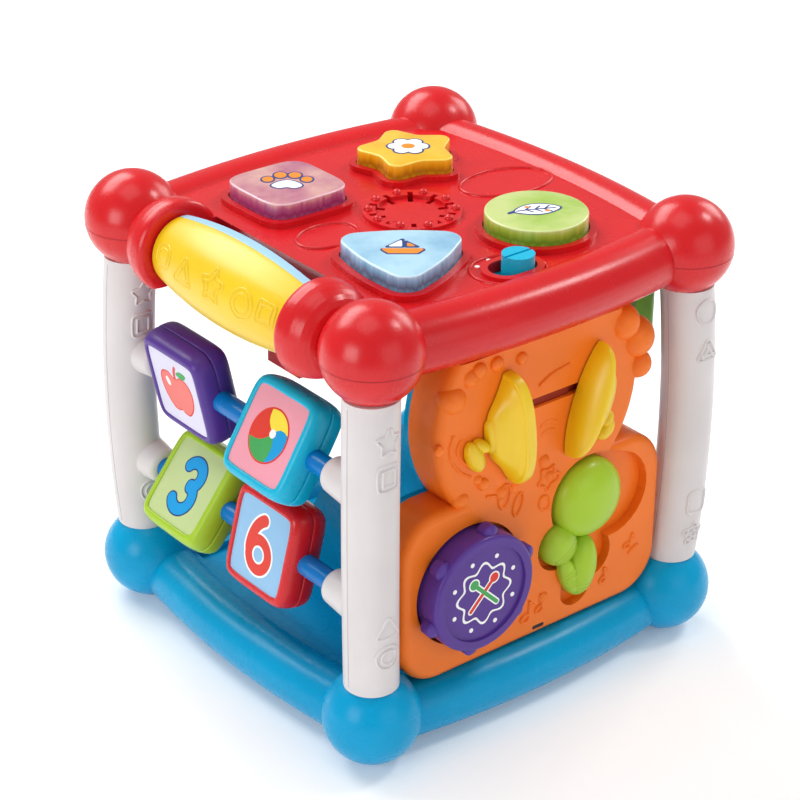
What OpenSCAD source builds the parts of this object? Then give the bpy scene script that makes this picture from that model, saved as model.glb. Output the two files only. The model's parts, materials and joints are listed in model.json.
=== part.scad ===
// Baby activity cube: a blue base and a red keyboard top joined by four bowed legs,
// with turning blocks, a roller, light-up keys and a panel of toy instruments.
// Millimetres. The origin is on the floor under the middle of the cube, +Z is up,
// -Y faces the instrument panel and -X faces the turning blocks.

/* [Frame] */
// Distance between the centres of neighbouring corner balls
pitch = 144; // [138:1:156]
// Radius of the corner balls
ball_r = 18; // [17:0.5:20]
// Radius of the legs
leg_r = 10; // [8:0.5:11]
// How far each leg bows outward at its middle
leg_bow = 4.5; // [2:0.5:6]
// Radius of the spigots that hold the legs in the balls
spigot_r = 5; // [3:0.5:7]
// Length of the spigots
spigot_len = 8; // [5:0.5:10]
// Radius of the rails round the top
top_rail_r = 11.3; // [10.5:0.1:12]
// Radius of the rails round the base
base_rail_r = 11; // [10:0.1:12]
// Distance of a rail's middle outside the line of the ball centres
rail_bow = 3; // [0:0.5:4]
// Radius of the arc that a rail follows
rail_arc_r = 370; // [300:10:600]
// Distance of the top rails below the ball centres
top_rail_drop = 2; // [1:0.5:3]
// Distance of the base rails below the ball centres
base_rail_drop = 5; // [4:0.5:6]
// Radius of the flat foot under each ball
foot_r = 5.5; // [3:0.5:8]

/* [Top] */
// Height of the top plate's surface above the rails' centre line
plate_rise = 8.7; // [8:0.1:10]
// Thickness of the top plate
plate_t = 2.7; // [2:0.1:3.2]
// Thickness of the walls of the shells
wall = 2.5; // [1.8:0.1:3]
// Distance of the cover's floor below the rails' centre line
floor_drop = 1.5; // [1:0.5:2.5]
// Height of the electronics box below the cover's floor
box_depth = 13; // [12:0.5:16]
// Outer corner of the electronics box nearest the blocks and the panel
box_low = [-44, -56]; // [-58:1:-42]
// Outer corner of the electronics box farthest from the blocks and the panel
box_high = [50, 46]; // [44:1:51]
// Radius of the screw bosses
boss_r = 3.2; // [2.6:0.1:4]
// Radius of the screws
screw_r = 1.3; // [1:0.1:1.5]
// Radius of the screw heads
screw_head_r = 2.6; // [2:0.1:3]

/* [Keys] */
// Height of the keys above the plate
key_rise = 8.3; // [6:0.1:10]
// Travel of the keys
key_travel = 2.2; // [1.5:0.1:2.6]
// Half width of the square key
square_half = 17.8; // [15:0.1:19]
// Centre of the square key
square_at = [-28, 35]; // [-40:1:40]
// Radius of the star key's points
star_r = 22.4; // [19:0.1:23]
// Radius of the star key's valleys
star_valley_r = 14; // [12:0.5:15]
// Centre of the star key
star_at = [29, 35]; // [-40:1:40]
// Radius of the triangle key's corners before they are rounded
triangle_r = 28; // [25:0.5:30]
// Bulge of the triangle key's sides
triangle_bulge = 3.2; // [1:0.1:4]
// Direction of the triangle key's first corner
triangle_turn = -5; // [-30:5:30]
// Centre of the triangle key
triangle_at = [-32, -38]; // [-40:1:40]
// Radius of the round key
round_r = 19; // [17:0.5:20]
// Centre of the round key
round_at = [27, -41]; // [-42:1:42]
// Width of the raised rim round a key
bezel_w = 2.6; // [2:0.1:3]
// Height of the raised rim above the plate
bezel_h = 2.2; // [1:0.1:3]
// Thickness of a key's walls
key_wall = 1.8; // [1.5:0.1:2.2]
// Width of the flange that keeps a key in
flange_w = 1.6; // [1.2:0.1:2]
// Thickness of that flange
flange_t = 1.4; // [1:0.1:1.8]
// Radius of a key's stem
stem_r = 3.6; // [3:0.1:4.5]
// Height of the rubber domes
dome_h = 3.8; // [3.4:0.1:4.6]
// Radius of the rubber domes
dome_r = 5; // [4:0.1:6]
// Thickness of the circuit boards
board_t = 1.6; // [1:0.1:2]
// Radius of the lamps under the keys
lamp_r = 2.4; // [1.5:0.1:3]
// Distance of a lamp from its key's centre
lamp_offset = 8; // [7.5:0.5:9]

/* [Power slider and speaker] */
// Centre of the power slider at rest
slider_at = [0.5, -61.5]; // [-64:0.5:4]
// Radius of the slider's post
slider_r = 5.9; // [4.5:0.1:6.2]
// Height of the post above the plate
slider_rise = 5.6; // [4:0.1:8]
// Travel of the slider
slider_travel = 5; // [4:0.5:6]
// Thickness of the slider's runner
runner_t = 1.4; // [1:0.1:1.6]
// Width of the rim round the slider's slot
slider_rim_w = 2.6; // [1.5:0.1:3]
// Height of that rim and of the speaker's ring
rim_h = 1.4; // [0.8:0.1:2]
// Centre of the speaker
speaker_at = [2, -1]; // [-5:1:5]
// Radius of the speaker
speaker_r = 18.5; // [17:0.5:19]
// Height of the speaker
speaker_h = 13; // [11:0.5:14]
// Number of sound slots and of the beads between them
slot_count = 10; // [6:1:14]
// Width of a sound slot
slot_w = 2; // [1:0.1:2.6]
// Radius of the beads
bead_r = 1.7; // [1:0.1:2]

/* [Roller] */
// Radius of the roller's yellow half at its middle
roller_r = 17; // [15:0.1:17.2]
// Radius of the yellow half at its ends
roller_end_r = 13.2; // [12:0.1:14]
// How much smaller the light blue half is
roller_step = 3.4; // [1:0.1:4]
// Length of the roller
roller_len = 78; // [70:1:80]
// Thickness of the roller's half shells
roller_wall = 2.2; // [1.8:0.1:3]
// Radius of the roller's axle
axle_r = 3; // [2:0.1:4]
// Radius of the end discs
disc_r = 18; // [18:0.5:19.5]
// Width of an end disc's rim
disc_w = 4; // [3:0.5:5]
// Length of the rounded cap from an end disc to its neck
flare_len = 12; // [8:0.5:13]
// Radius of the neck between an end disc and its ball
neck_r = 9.5; // [8:0.5:11]
// Gap between the roller and the trough it turns in
trough_gap = 0.8; // [0.6:0.1:1.5]

/* [Turning blocks] */
// Height of the upper rod
upper_rod_z = 107.3; // [105:0.1:109]
// Height of the lower rod
lower_rod_z = 61.9; // [60:0.1:63]
// Radius of the rods
rod_r = 4.1; // [3.5:0.1:4.5]
// Depth that a rod goes into its bosses
rod_seat = 8; // [5:0.5:10]
// Distance of the front bosses' tips from the middle
front_boss_y = 50; // [46:1:52]
// Distance of the rear bosses' tips from the middle
rear_boss_y = 57; // [56:0.5:59]
// Radius of the bosses at their tips
boss_tip_r = 7; // [6:0.5:8]
// Radius of the bosses at the legs
boss_root_r = 9; // [8:0.5:10]
// Width of a block along its rod, at its seam
block_w = 38.6; // [35:0.1:40]
// Height of a block at its seam
block_h = 40; // [36:0.1:41]
// Thickness of a block
block_t = 15.4; // [13:0.1:17]
// How far a block's sides swell from its face to its seam
block_swell = 1.2; // [0.6:0.1:1.8]
// How square a block's outline is
block_square = 6; // [4:0.5:8]
// Width of the bevel round a block's face
block_bevel = 1.2; // [0.6:0.1:2]
// Width of the frame round a block's label
label_frame = 4; // [3:0.1:5]
// Depth of the label's recess
label_depth = 0.8; // [0.4:0.1:1.2]
// Place along the rod of the purple block
purple_y = 35.8; // [34:0.1:37]
// Lean of the purple block
purple_lean = -12; // [-90:1:90]
// Place along the rod of the cyan block
cyan_y = -20.4; // [-25:0.1:-18]
// Lean of the cyan block
cyan_lean = 31.5; // [-90:0.5:90]
// Place along the rod of the lime block
lime_y = 33.6; // [30:0.1:36]
// Lean of the lime block
lime_lean = 38; // [-90:1:90]
// Place along the rod of the red block
red_y = -14.7; // [-25:0.1:-12]
// Lean of the red block
red_lean = 14.5; // [-90:0.5:90]

/* [Instrument panel] */
// Distance of the panel's front outside the line of the ball centres
panel_out = 5; // [3:0.5:6]
// Depth of the panel
panel_depth = 16; // [15:0.5:18]
// Radius of the panel's upper lobe
lobe_r = 47.5; // [44:0.5:49]
// Height of the middle of the upper lobe
lobe_z = 121; // [118:0.5:124]
// Distance from the lower lobe's sides to the line of the ball centres
panel_side = 10; // [9.5:0.5:14]
// Height of the lower lobe's top
panel_top = 93; // [90:0.5:96]
// Radius of the lower lobe's corners
panel_corner = 17; // [12:0.5:20]
// Radius of the panel's front edges
panel_edge = 3.5; // [2:0.1:3.8]
// Radius of the drum
drum_r = 22.8; // [21:0.1:24.5]
// Height of the drum's centre
drum_z = 59.8; // [58:0.1:62]
// Distance of the drum's cup from the lower lobe's side
cup_side = 4.6; // [3:0.1:5]
// Height of the drum's face above the panel
drum_rise = 9.2; // [7:0.1:10]
// Travel of the drum
drum_travel = 2.4; // [1.5:0.1:2.6]
// Gap between the drum and its cup
cup_gap = 1.2; // [0.6:0.1:1.6]
// Radius of the lugs round the drum
lug_r = 3.4; // [2.5:0.1:4]
// Depth of the drum's cup
cup_depth = 5; // [4.8:0.1:5.6]
// Pivot of the maraca across and up
maraca_at = [20, 38]; // [15:1:45]
// Radius of the maraca's head
maraca_r = 15.6; // [14:0.1:17]
// Distance of the head's centre from the pivot
maraca_reach = 38; // [36:0.5:41]
// Lean of the maraca at rest
maraca_lean = 6; // [3:1:9]
// Gap between the maraca and the walls of its recess
maraca_gap = 1.8; // [1.5:0.1:2.4]
// Height of the maraca's dome above the panel
maraca_rise = 8.5; // [6:0.1:10]
// Swing of the maraca to the right
maraca_swing = 21; // [15:1:23]
// Depth of the maraca's recess
recess_depth = 4; // [3:0.1:4.5]
// Radius of the maraca's pivot pin
pivot_r = 2; // [1.5:0.1:2.5]
// Height of the middle of the cymbals
cymbal_z = 118.5; // [117:0.5:121]
// Radius of a cymbal
cymbal_r = 22; // [20:0.5:23]
// Depth of a cymbal as a share of its height
cymbal_depth = 0.55; // [0.4:0.01:0.56]
// Width of a cymbal's rim
cymbal_rim = 4.5; // [2:0.1:6]
// Bulge of a cymbal's face
cymbal_bulge = 4; // [2:0.1:5]
// Length of a cymbal's hub behind its rim
cymbal_hub = 14; // [10:0.5:16]
// Place of the left cymbal's rim across the panel
left_cymbal_x = -13; // [-15:0.5:-12]
// Lean of the left cymbal
left_cymbal_lean = -5; // [-8:1:0]
// Place of the right cymbal's rim across the panel
right_cymbal_x = 18.5; // [17:0.5:22]
// Lean of the right cymbal
right_cymbal_lean = 19; // [10:1:20]
// Travel of each cymbal towards the other
cymbal_travel = 6; // [4:0.5:7]
// Height of the slot that both cymbals slide in
cymbal_slot = 4; // [3:0.1:5]
// Height of that slot above the middle of the cymbals
cymbal_slot_rise = 4.5; // [2:0.5:6]

/* [Base, housing and rear panel] */
// Height of the deck of the base
deck_z = 15; // [14:0.5:17]
// Height of the step round the deck
deck_step_h = 2.6; // [1:0.1:4]
// Thickness of the deck and of the plates under it
deck_t = 3; // [2:0.5:3.5]
// Half width of the plate under the base
under_half = 57; // [52:0.5:58]
// Half width of the housing behind the instrument panel
housing_half = 38; // [32:0.5:42]
// Height of the housing next to the panel
housing_top = 117; // [108:0.5:120]
// Middle point of the housing's slope, back and up
housing_knee = [-6, 78]; // [-20:1:90]
// Foot of the housing's slope
housing_foot = 33; // [28:0.5:36]
// Width of the green panel
green_w = 118; // [100:1:120]
// Height of the green panel's lower edge
green_low = 109; // [104:0.5:114]
// Depth of the green panel
green_depth = 11; // [9:0.5:12]
// Distance of the green panel's front outside the line of the ball centres
green_out = 1; // [0:0.5:2]

/* [Battery box] */
// Corner of the battery box nearest the blocks and the panel
battery_low = [-40, 13]; // [-44:1:16]
// Height of the battery box's underside
battery_z = 108; // [104:0.5:110]
// Radius of a battery cell
cell_r = 7.2; // [7:0.05:7.25]
// Length of a battery cell
cell_len = 50.4; // [50:0.1:50.5]
// Thickness of the battery contacts
contact_t = 0.5; // [0.3:0.1:0.6]
// Length of the contact springs at each end of the cells
spring_len = 4.6; // [3:0.1:6]

/* [Clearances] */
// Gap of a shaft that turns or slides in its hole
run_gap = 0.08; // [0.05:0.01:0.1]
// Gap of pieces that are put together and stay together
fit_gap = 0.1; // [0.05:0.01:0.15]
// Gap between pieces that move past each other
body_gap = 0.4; // [0.3:0.05:0.5]

/* [Hidden] */
$fn = 64;

// Frame places
half = pitch / 2;
low_z = ball_r;
top_z = ball_r + pitch;
top_rail_z = top_z - top_rail_drop;
base_rail_z = low_z - base_rail_drop;
rail_sweep = 2 * asin(half / rail_arc_r);
seat = sqrt(pow(ball_r, 2) - pow(leg_r, 2));
leg_low_z = low_z + seat;
leg_top_z = top_z - seat;
leg_arc_r = (pow(half, 2) + pow(leg_bow, 2)) / (2 * leg_bow);
leg_sweep = 2 * asin(half / leg_arc_r);
leg_end_shift = leg_bow - leg_arc_r + sqrt(pow(leg_arc_r, 2) - pow(half - seat, 2));
corners = [[-1, -1], [1, -1], [-1, 1], [1, 1]];
far = 4 * pitch;

// Heights in the top, from the plate down to the box
plate_z = top_rail_z + plate_rise;
plate_low_z = plate_z - plate_t;
floor_z = top_rail_z - floor_drop;
floor_low_z = floor_z - wall;
box_z = floor_low_z - box_depth;
standoff_h = 1.5;
board_z = box_z + wall + standoff_h;
board_top_z = board_z + board_t;
key_top_z = plate_z + key_rise;
flange_z = plate_low_z - body_gap - flange_t;
stem_low_z = board_top_z + dome_h + body_gap / 2;
plate_edge = half - 2;
roller_x = -half;
trough_r = roller_r + trough_gap;
notch_x = roller_x + 13;
trough_wall = trough_r + wall - (notch_x - roller_x);
disc_y = roller_len / 2 + 1;
flare_y = disc_y + disc_w + flare_len;
top_screw_at = [[56, 45], [56, -45], [-46, 57], [-47.5, 4]];
key_names = ["square", "star", "triangle", "round"];
key_places = [square_at, star_at, triangle_at, round_at];

// Places of the blocks, the panel and the housing
rod_x = -half;
block_seam = 0.2;
panel_y = -half - panel_out;
panel_back_y = panel_y + panel_depth;
deck_half = -(panel_back_y + wall) + body_gap;
panel_low_z = base_rail_z + base_rail_r + 0.4;
panel_high_z = top_rail_z - top_rail_r - 0.4;
panel_mid_z = (panel_low_z + panel_top) / 2;
panel_h = panel_top - panel_low_z;
floor_t = 2;
recess_wall = 1.5;
cup_r = drum_r + cup_gap;
cup_wall = 1.4;
panel_w = pitch - 2 * panel_side;
drum_at = [cup_r + cup_wall + cup_side - panel_w / 2, drum_z];
panel_board_half = drum_r - 2;
drum_back = body_gap + drum_travel + 0.2;
drum_switch_h = 2;
lug_low = drum_travel + body_gap;
lug_sink = 0.4;
lug_dome = 1.5;
lug_drop = 1.2;
stem_tip = board_t + drum_switch_h + drum_travel + body_gap / 2 - panel_depth;
maraca_head = maraca_reach * [sin(maraca_lean), cos(maraca_lean)];
lobe_places = [[-9, 21.5, 8.3], [0, 0.6, 5.2], [2.8, 13.5, 8]];
lumps = [[40, 141, 7], [47, 133, 8], [48.5, 122, 5.5], [-40, 135.5, 5.5], [-33, 142, 4]];
dots = [[-36, 95, 3.4], [-29, 101, 2.3], [-18, 92, 3], [-12, 92, 2.4],
    [2, 98, 3], [5, 91, 2.4], [4, 40, 2.6]];

// Battery box, with the cells stacked and a door on the open side of the cube
battery_inner_y = battery_low.y + wall;
battery_door_y = battery_inner_y + 2 * cell_r + 4 * fit_gap;
cell_y = battery_inner_y + cell_r + 2 * fit_gap;
cell_z = battery_z + wall + cell_r + fit_gap;
cell_end_gap = contact_t + spring_len + 2 * fit_gap;
battery_len = cell_len + 2 * (cell_end_gap + wall);
cell_x = battery_low.x + battery_len / 2;

// Points along a superellipse, which is a square with bulging sides
function blunted(v, sharpness) = sign(v) * pow(abs(v), 2 / sharpness);
function bulged_square(a, sharpness = 4.5, steps = 60, tall = 1) = [
    for (i = [0 : steps - 1])
        let (t = 360 * (i + 0.5) / steps)
        a * [blunted(cos(t), sharpness), tall * blunted(sin(t), sharpness)]
];

// A polygon's points with each corner replaced by an arc
function unit(v) = v / norm(v);
function turned(v, a) = [v.x * cos(a) - v.y * sin(a), v.x * sin(a) + v.y * cos(a)];
function corner_arc(before, at, after, r, steps) =
    let (u = unit(before - at), v = unit(after - at), bend = acos(u * v) / 2)
    let (centre = at + unit(u + v) * r / sin(bend), start = at + u * r / tan(bend) - centre)
    let (sweep = (180 - 2 * bend) * sign(cross(v, u)))
    [for (i = [0 : steps]) centre + turned(start, sweep * i / steps)];
function rounded(points, radii, steps = 6) =
    let (n = len(points))
    [for (i = [0 : n - 1])
        each corner_arc(points[(i + n - 1) % n], points[i], points[(i + 1) % n], radii[i], steps)];

// Key outlines, grown by g on every side
star_apothem = star_r * star_valley_r * sin(36)
    / sqrt(pow(star_r, 2) + pow(star_valley_r, 2) - 2 * star_r * star_valley_r * cos(36));
star_tip = 4.2;
star_hollow = 6;
triangle_tip = 7;
triangle_side_r = 75;
function star_points(g) =
    let (k = (star_apothem + g) / star_apothem)
    [for (i = [0 : 9]) (i % 2 == 0 ? star_r : star_valley_r) * k * [cos(36 * i), sin(36 * i)]];
function triangle_points(g) =
    [for (i = [0 : 5]) (i % 2 == 0 ? triangle_r + 2 * g : triangle_r / 2 + triangle_bulge + g)
        * [cos(60 * i + triangle_turn), sin(60 * i + triangle_turn)]];

module key_outline(name, g) {
    if (name == "square")
        polygon(bulged_square(square_half + g));
    if (name == "star")
        polygon(rounded(star_points(g), [for (i = [0 : 9]) i % 2 == 0 ? star_tip + g : star_hollow - g]));
    if (name == "triangle")
        polygon(rounded(triangle_points(g),
            [for (i = [0 : 5]) i % 2 == 0 ? triangle_tip + g : triangle_side_r], 8));
    if (name == "round")
        circle(round_r + g);
}

// Everything below a height, and everything above it
module below(z) {
    translate([-far / 2, -far / 2, z - far])
        cube(far);
}
module above(z) {
    translate([-far / 2, -far / 2, z])
        cube(far);
}

// A block whose front edges are rounded: its back lies on z = 0 and its front at depth
module front_rounded(w, depth, edge) {
    translate([-w / 2, 0])
        square([w, depth - edge]);
    translate([edge - w / 2, 0])
        square([w - 2 * edge, depth]);
    for (s = [-1, 1])
        translate([s * (w / 2 - edge), depth - edge])
            circle(edge);
}
module cushion(w, h, corner, depth, edge) {
    rotate([90, 0, 0])
        translate([0, 0, corner - h / 2])
            linear_extrude(h - 2 * corner)
                front_rounded(w, depth, edge);
    rotate([90, 0, 90])
        translate([0, 0, corner - w / 2])
            linear_extrude(w - 2 * corner)
                front_rounded(h, depth, edge);
    for (sx = [-1, 1], sy = [-1, 1])
        translate([sx * (w / 2 - corner), sy * (h / 2 - corner), 0])
            round_cushion(corner, depth, edge);
}
module round_cushion(r, depth, edge) {
    rotate_extrude()
        intersection() {
            front_rounded(2 * r, depth, edge);
            square([r, depth]);
        }
}

// A dome of a given radius and rise that stands on a short round wall
module pebble(r, wall_h, rise) {
    cap_r = (pow(r, 2) + pow(rise, 2)) / (2 * rise);
    rotate_extrude() {
        square([r, wall_h]);
        intersection() {
            translate([0, wall_h + rise - cap_r])
                circle(cap_r, $fn = 96);
            translate([0, wall_h / 2])
                square([r, wall_h / 2 + rise]);
        }
    }
}

module slot_outline(length, w) {
    square([length - w, w], center = true);
    for (s = [-1, 1])
        translate([s * (length - w) / 2, 0])
            circle(w / 2);
}

// Turns z outward through the front of the instrument panel, with x across and y up
module on_panel(x, z) {
    translate([x, panel_y, z])
        rotate([90, 0, 0])
            children();
}

// Rails and balls
module rail(r, z) {
    translate([half + rail_bow - rail_arc_r, 0, z])
        rotate([0, 0, -rail_sweep / 2])
            rotate_extrude(angle = rail_sweep, $fn = 180)
                translate([rail_arc_r, 0])
                    circle(r);
}
module balls(z) {
    for (c = corners)
        translate([c.x * half, c.y * half, z])
            sphere(ball_r, $fn = 96);
}
module leg_sockets(z, up) {
    for (c = corners)
        translate([c.x * half, c.y * half, z] + leg_end_shift / sqrt(2) * [c.x, c.y, 0])
            mirror([0, 0, up ? 0 : 1])
                cylinder(r = spigot_r + fit_gap, h = 2 * (spigot_len + fit_gap), center = true);
}

module base_shell() {
    color("deepskyblue") difference() {
        union() {
            intersection() {
                balls(low_z);
                below(leg_low_z);
            }
            for (side = [0 : 3])
                rotate([0, 0, 90 * side])
                    rail(base_rail_r, base_rail_z);
            translate([-plate_edge, -plate_edge, deck_z - deck_t])
                cube([2 * plate_edge, 2 * plate_edge, deck_t]);
            deck_step();
            for (c = corners)
                translate([c.x * half, c.y * half, 0])
                    cylinder(r = foot_r, h = low_z);
            for (c = corners)
                translate([c.x * base_screw_at, c.y * base_screw_at, under_z + deck_t])
                    cylinder(r = boss_r, h = deck_z - deck_t - under_z - deck_t);
        }
        leg_sockets(leg_low_z, false);
        for (c = corners)
            translate([c.x * base_screw_at, c.y * base_screw_at, under_z])
                cylinder(r = screw_r + fit_gap, h = base_screw_len);
    }
}
// A step that runs along the rails, beside the deck
module deck_step() {
    translate([0, 0, deck_z - deck_t / 2])
        linear_extrude(deck_step_h + deck_t / 2)
            difference() {
                square(2 * plate_edge, center = true);
                square(2 * deck_half, center = true);
            }
}
under_z = base_rail_z - base_rail_r + 2.5;
base_screw_inset = 11;
base_screw_at = under_half - base_screw_inset;
base_screw_len = deck_z - under_z - 1;

module base_plate() {
    color("deepskyblue") difference() {
        translate([-under_half, -under_half, under_z])
            cube([2 * under_half, 2 * under_half, deck_t]);
        for (c = corners)
            translate([c.x * base_screw_at, c.y * base_screw_at, under_z - 1])
                cylinder(r = screw_r + fit_gap, h = deck_t + 2);
        for (c = corners)
            translate([c.x * under_half, c.y * under_half, under_z - 1])
                cylinder(r = ball_r - 8, h = deck_t + 2);
    }
}
module screw(length) {
    translate([0, 0, -screw_head_h])
        cylinder(r = screw_head_r, h = screw_head_h);
    cylinder(r = screw_r, h = length);
}
screw_head_h = 1.6;
module base_screws() {
    color("silver")
        for (c = corners)
            translate([c.x * base_screw_at, c.y * base_screw_at, under_z])
                screw(base_screw_len - 1);
}

// Legs
module leg(c, bosses) {
    color("gainsboro") difference() {
        union() {
            intersection() {
                translate([c.x * half, c.y * half, low_z + half])
                    rotate([0, 0, atan2(c.y, c.x)])
                        translate([leg_bow - leg_arc_r, 0, 0])
                            rotate([90, 0, 0])
                                rotate([0, 0, -leg_sweep / 2])
                                    rotate_extrude(angle = leg_sweep, $fn = 180)
                                        translate([leg_arc_r, 0])
                                            circle(leg_r);
                translate([-far / 2, -far / 2, leg_low_z])
                    cube([far, far, leg_top_z - leg_low_z]);
            }
            for (z = [leg_low_z, leg_top_z])
                translate([c.x * half, c.y * half, z] + leg_end_shift / sqrt(2) * [c.x, c.y, 0])
                    cylinder(r = spigot_r, h = 2 * spigot_len, center = true);
            if (bosses)
                for (z = [upper_rod_z, lower_rod_z])
                    rod_boss(c, z);
        }
        if (bosses)
            for (z = [upper_rod_z, lower_rod_z])
                translate([rod_x, c.y * (boss_y(c) - 1), z])
                    rotate([-90 * c.y, 0, 0])
                        cylinder(r = rod_r + fit_gap, h = rod_seat + 1 + fit_gap);
    }
}
function boss_y(c) = c.y < 0 ? front_boss_y : rear_boss_y;
module rod_boss(c, z) {
    root = half + leg_bow / sqrt(2) - boss_y(c);
    translate([rod_x, c.y * boss_y(c), z])
        rotate([-90 * c.y, 0, 0])
            rotate_extrude()
                intersection() {
                    union() {
                        translate([0, boss_tip_round])
                            square([boss_tip_r - boss_tip_round, 1]);
                        translate([boss_tip_r - boss_tip_round, boss_tip_round])
                            circle(boss_tip_round);
                        polygon([[0, 0], [boss_tip_r - boss_tip_round, 0], [boss_tip_r, boss_tip_round],
                            [boss_root_r, root], [0, root]]);
                    }
                    square([2 * boss_root_r, root]);
                }
}
boss_tip_round = 3;
module front_left_leg() {
    leg([-1, -1], true);
}
module front_right_leg() {
    leg([1, -1], false);
}
module rear_left_leg() {
    leg([-1, 1], true);
}
module rear_right_leg() {
    leg([1, 1], false);
}

// The top, parted at the rails' centre line
module top_frame() {
    balls(top_z);
    for (side = [0, 1, 3])
        rotate([0, 0, 90 * side])
            rail(top_rail_r, top_rail_z);
    for (s = [-1, 1])
        translate([roller_x, 0, top_rail_z])
            rotate([-90 * s, 0, 0])
                rotate_extrude()
                    polygon(concat(
                        [[0, disc_y]],
                        [for (i = [0 : 4]) lip_point(i / 4)],
                        [for (i = [0 : 8]) flare_point(i / 8)],
                        [[neck_r, half], [0, half]]));
}
disc_lip = 2.5;
function lip_point(t) = [disc_r - disc_lip * (1 - sin(90 * t)), disc_y + disc_lip * (1 - cos(90 * t))];
function flare_point(t) =
    [neck_r + (disc_r - neck_r) * cos(90 * t), disc_y + disc_w + flare_len * sin(90 * t)];
module axle_bore() {
    translate([roller_x, 0, top_rail_z])
        rotate([90, 0, 0])
            cylinder(r = axle_r + run_gap, h = 2 * (axle_len / 2 + 1), center = true);
}
axle_len = 2 * (disc_y + disc_w + flare_len);
module plate_outline() {
    translate([notch_x, -plate_edge])
        square([plate_edge - notch_x, 2 * plate_edge]);
    for (s = [-1, 1])
        translate([roller_x, s * (disc_y + 2 + plate_edge) / 2 - (plate_edge - disc_y - 2) / 2])
            square([notch_x - roller_x + 1, plate_edge - disc_y - 2]);
}
module notch_wall(low, high) {
    translate([notch_x, -plate_edge, low])
        cube([trough_wall, 2 * plate_edge, high - low]);
}
module trough() {
    translate([roller_x, 0, top_rail_z])
        rotate([90, 0, 0])
            cylinder(r = trough_r, h = 2 * disc_y, center = true);
}
module slider_slot(g) {
    translate([slider_at.x - slider_travel / 2, slider_at.y])
        slot_outline(2 * slider_r + slider_travel + 2 + 2 * g, 2 * slider_r + 1 + 2 * g);
}
module top_shell() {
    color("red") difference() {
        union() {
            intersection() {
                top_frame();
                above(top_rail_z);
            }
            translate([0, 0, plate_low_z])
                linear_extrude(plate_t)
                    plate_outline();
            notch_wall(top_rail_z, plate_low_z);
            for (i = [0 : 3])
                translate([key_places[i].x, key_places[i].y, plate_low_z])
                    linear_extrude(plate_t + bezel_h)
                        key_outline(key_names[i], body_gap + bezel_w);
            translate([0, 0, plate_low_z])
                linear_extrude(plate_t + rim_h)
                    slider_slot(slider_rim_w);
            speaker_ring();
            for (p = top_screw_at)
                translate([p.x, p.y, floor_z])
                    cylinder(r = boss_r, h = plate_low_z - floor_z);
        }
        for (i = [0 : 3])
            translate([key_places[i].x, key_places[i].y, floor_z])
                linear_extrude(key_top_z - floor_z)
                    key_outline(key_names[i], body_gap);
        translate([0, 0, floor_z])
            linear_extrude(key_top_z - floor_z)
                slider_slot(0);
        sound_slots();
        axle_bore();
        trough();
        for (p = top_screw_at)
            translate([p.x, p.y, floor_z - 1])
                cylinder(r = screw_r + fit_gap, h = top_screw_len + 1);
    }
}
top_screw_len = plate_low_z - floor_z - 1;
module speaker_ring() {
    translate([speaker_at.x, speaker_at.y, 0]) {
        translate([0, 0, plate_low_z])
            rotate_extrude()
                translate([speaker_r - 5, 0])
                    square([5, plate_t + rim_h]);
        for (i = [0 : slot_count - 1])
            rotate([0, 0, 360 * i / slot_count])
                translate([speaker_r - 2.5, 0, plate_z + rim_h])
                    sphere(bead_r);
    }
}
module sound_slots() {
    for (i = [0 : slot_count - 1])
        translate([speaker_at.x, speaker_at.y, plate_low_z - 1])
            rotate([0, 0, 360 * (i + 0.5) / slot_count])
                translate([speaker_r / 2 + 1, -slot_w / 2, 0])
                    cube([speaker_r / 2 - 3, slot_w, plate_t + rim_h + 2]);
}
module box_outline(inset) {
    translate([box_low.x + inset, box_low.y + inset])
        square([box_high.x - box_low.x - 2 * inset, box_high.y - box_low.y - 2 * inset]);
}
module top_cover() {
    color("firebrick") difference() {
        union() {
            intersection() {
                top_frame();
                below(top_rail_z);
                above(leg_top_z);
            }
            translate([0, 0, floor_low_z])
                linear_extrude(wall)
                    plate_outline();
            notch_wall(floor_low_z, top_rail_z);
            translate([0, 0, box_z])
                linear_extrude(floor_z - box_z)
                    box_outline(0);
            translate([battery_low.x, battery_low.y, battery_z])
                cube([battery_len, battery_door_y - battery_low.y, box_z + wall - battery_z]);
        }
        difference() {
            translate([0, 0, box_z + wall])
                linear_extrude(far)
                    box_outline(wall);
            for (p = standoff_at)
                translate([p.x, p.y, box_z])
                    cylinder(r = boss_r, h = wall + standoff_h);
        }
        translate([battery_low.x + wall, battery_inner_y, battery_z + wall])
            cube([battery_len - 2 * wall, far, box_z - battery_z - wall]);
        leg_sockets(leg_top_z, true);
        axle_bore();
        trough();
        for (p = top_screw_at)
            translate([p.x, p.y, floor_low_z - 1])
                cylinder(r = screw_r + fit_gap, h = wall + 2);
    }
}
standoff_inset = wall + 6;
standoff_at = [
    for (x = [box_low.x + standoff_inset, box_high.x - standoff_inset],
         y = [box_low.y + standoff_inset, box_high.y - standoff_inset]) [x, y]
];
module top_screws() {
    color("silver")
        for (p = top_screw_at)
            translate([p.x, p.y, floor_low_z])
                screw(wall + top_screw_len - 1);
}

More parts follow.
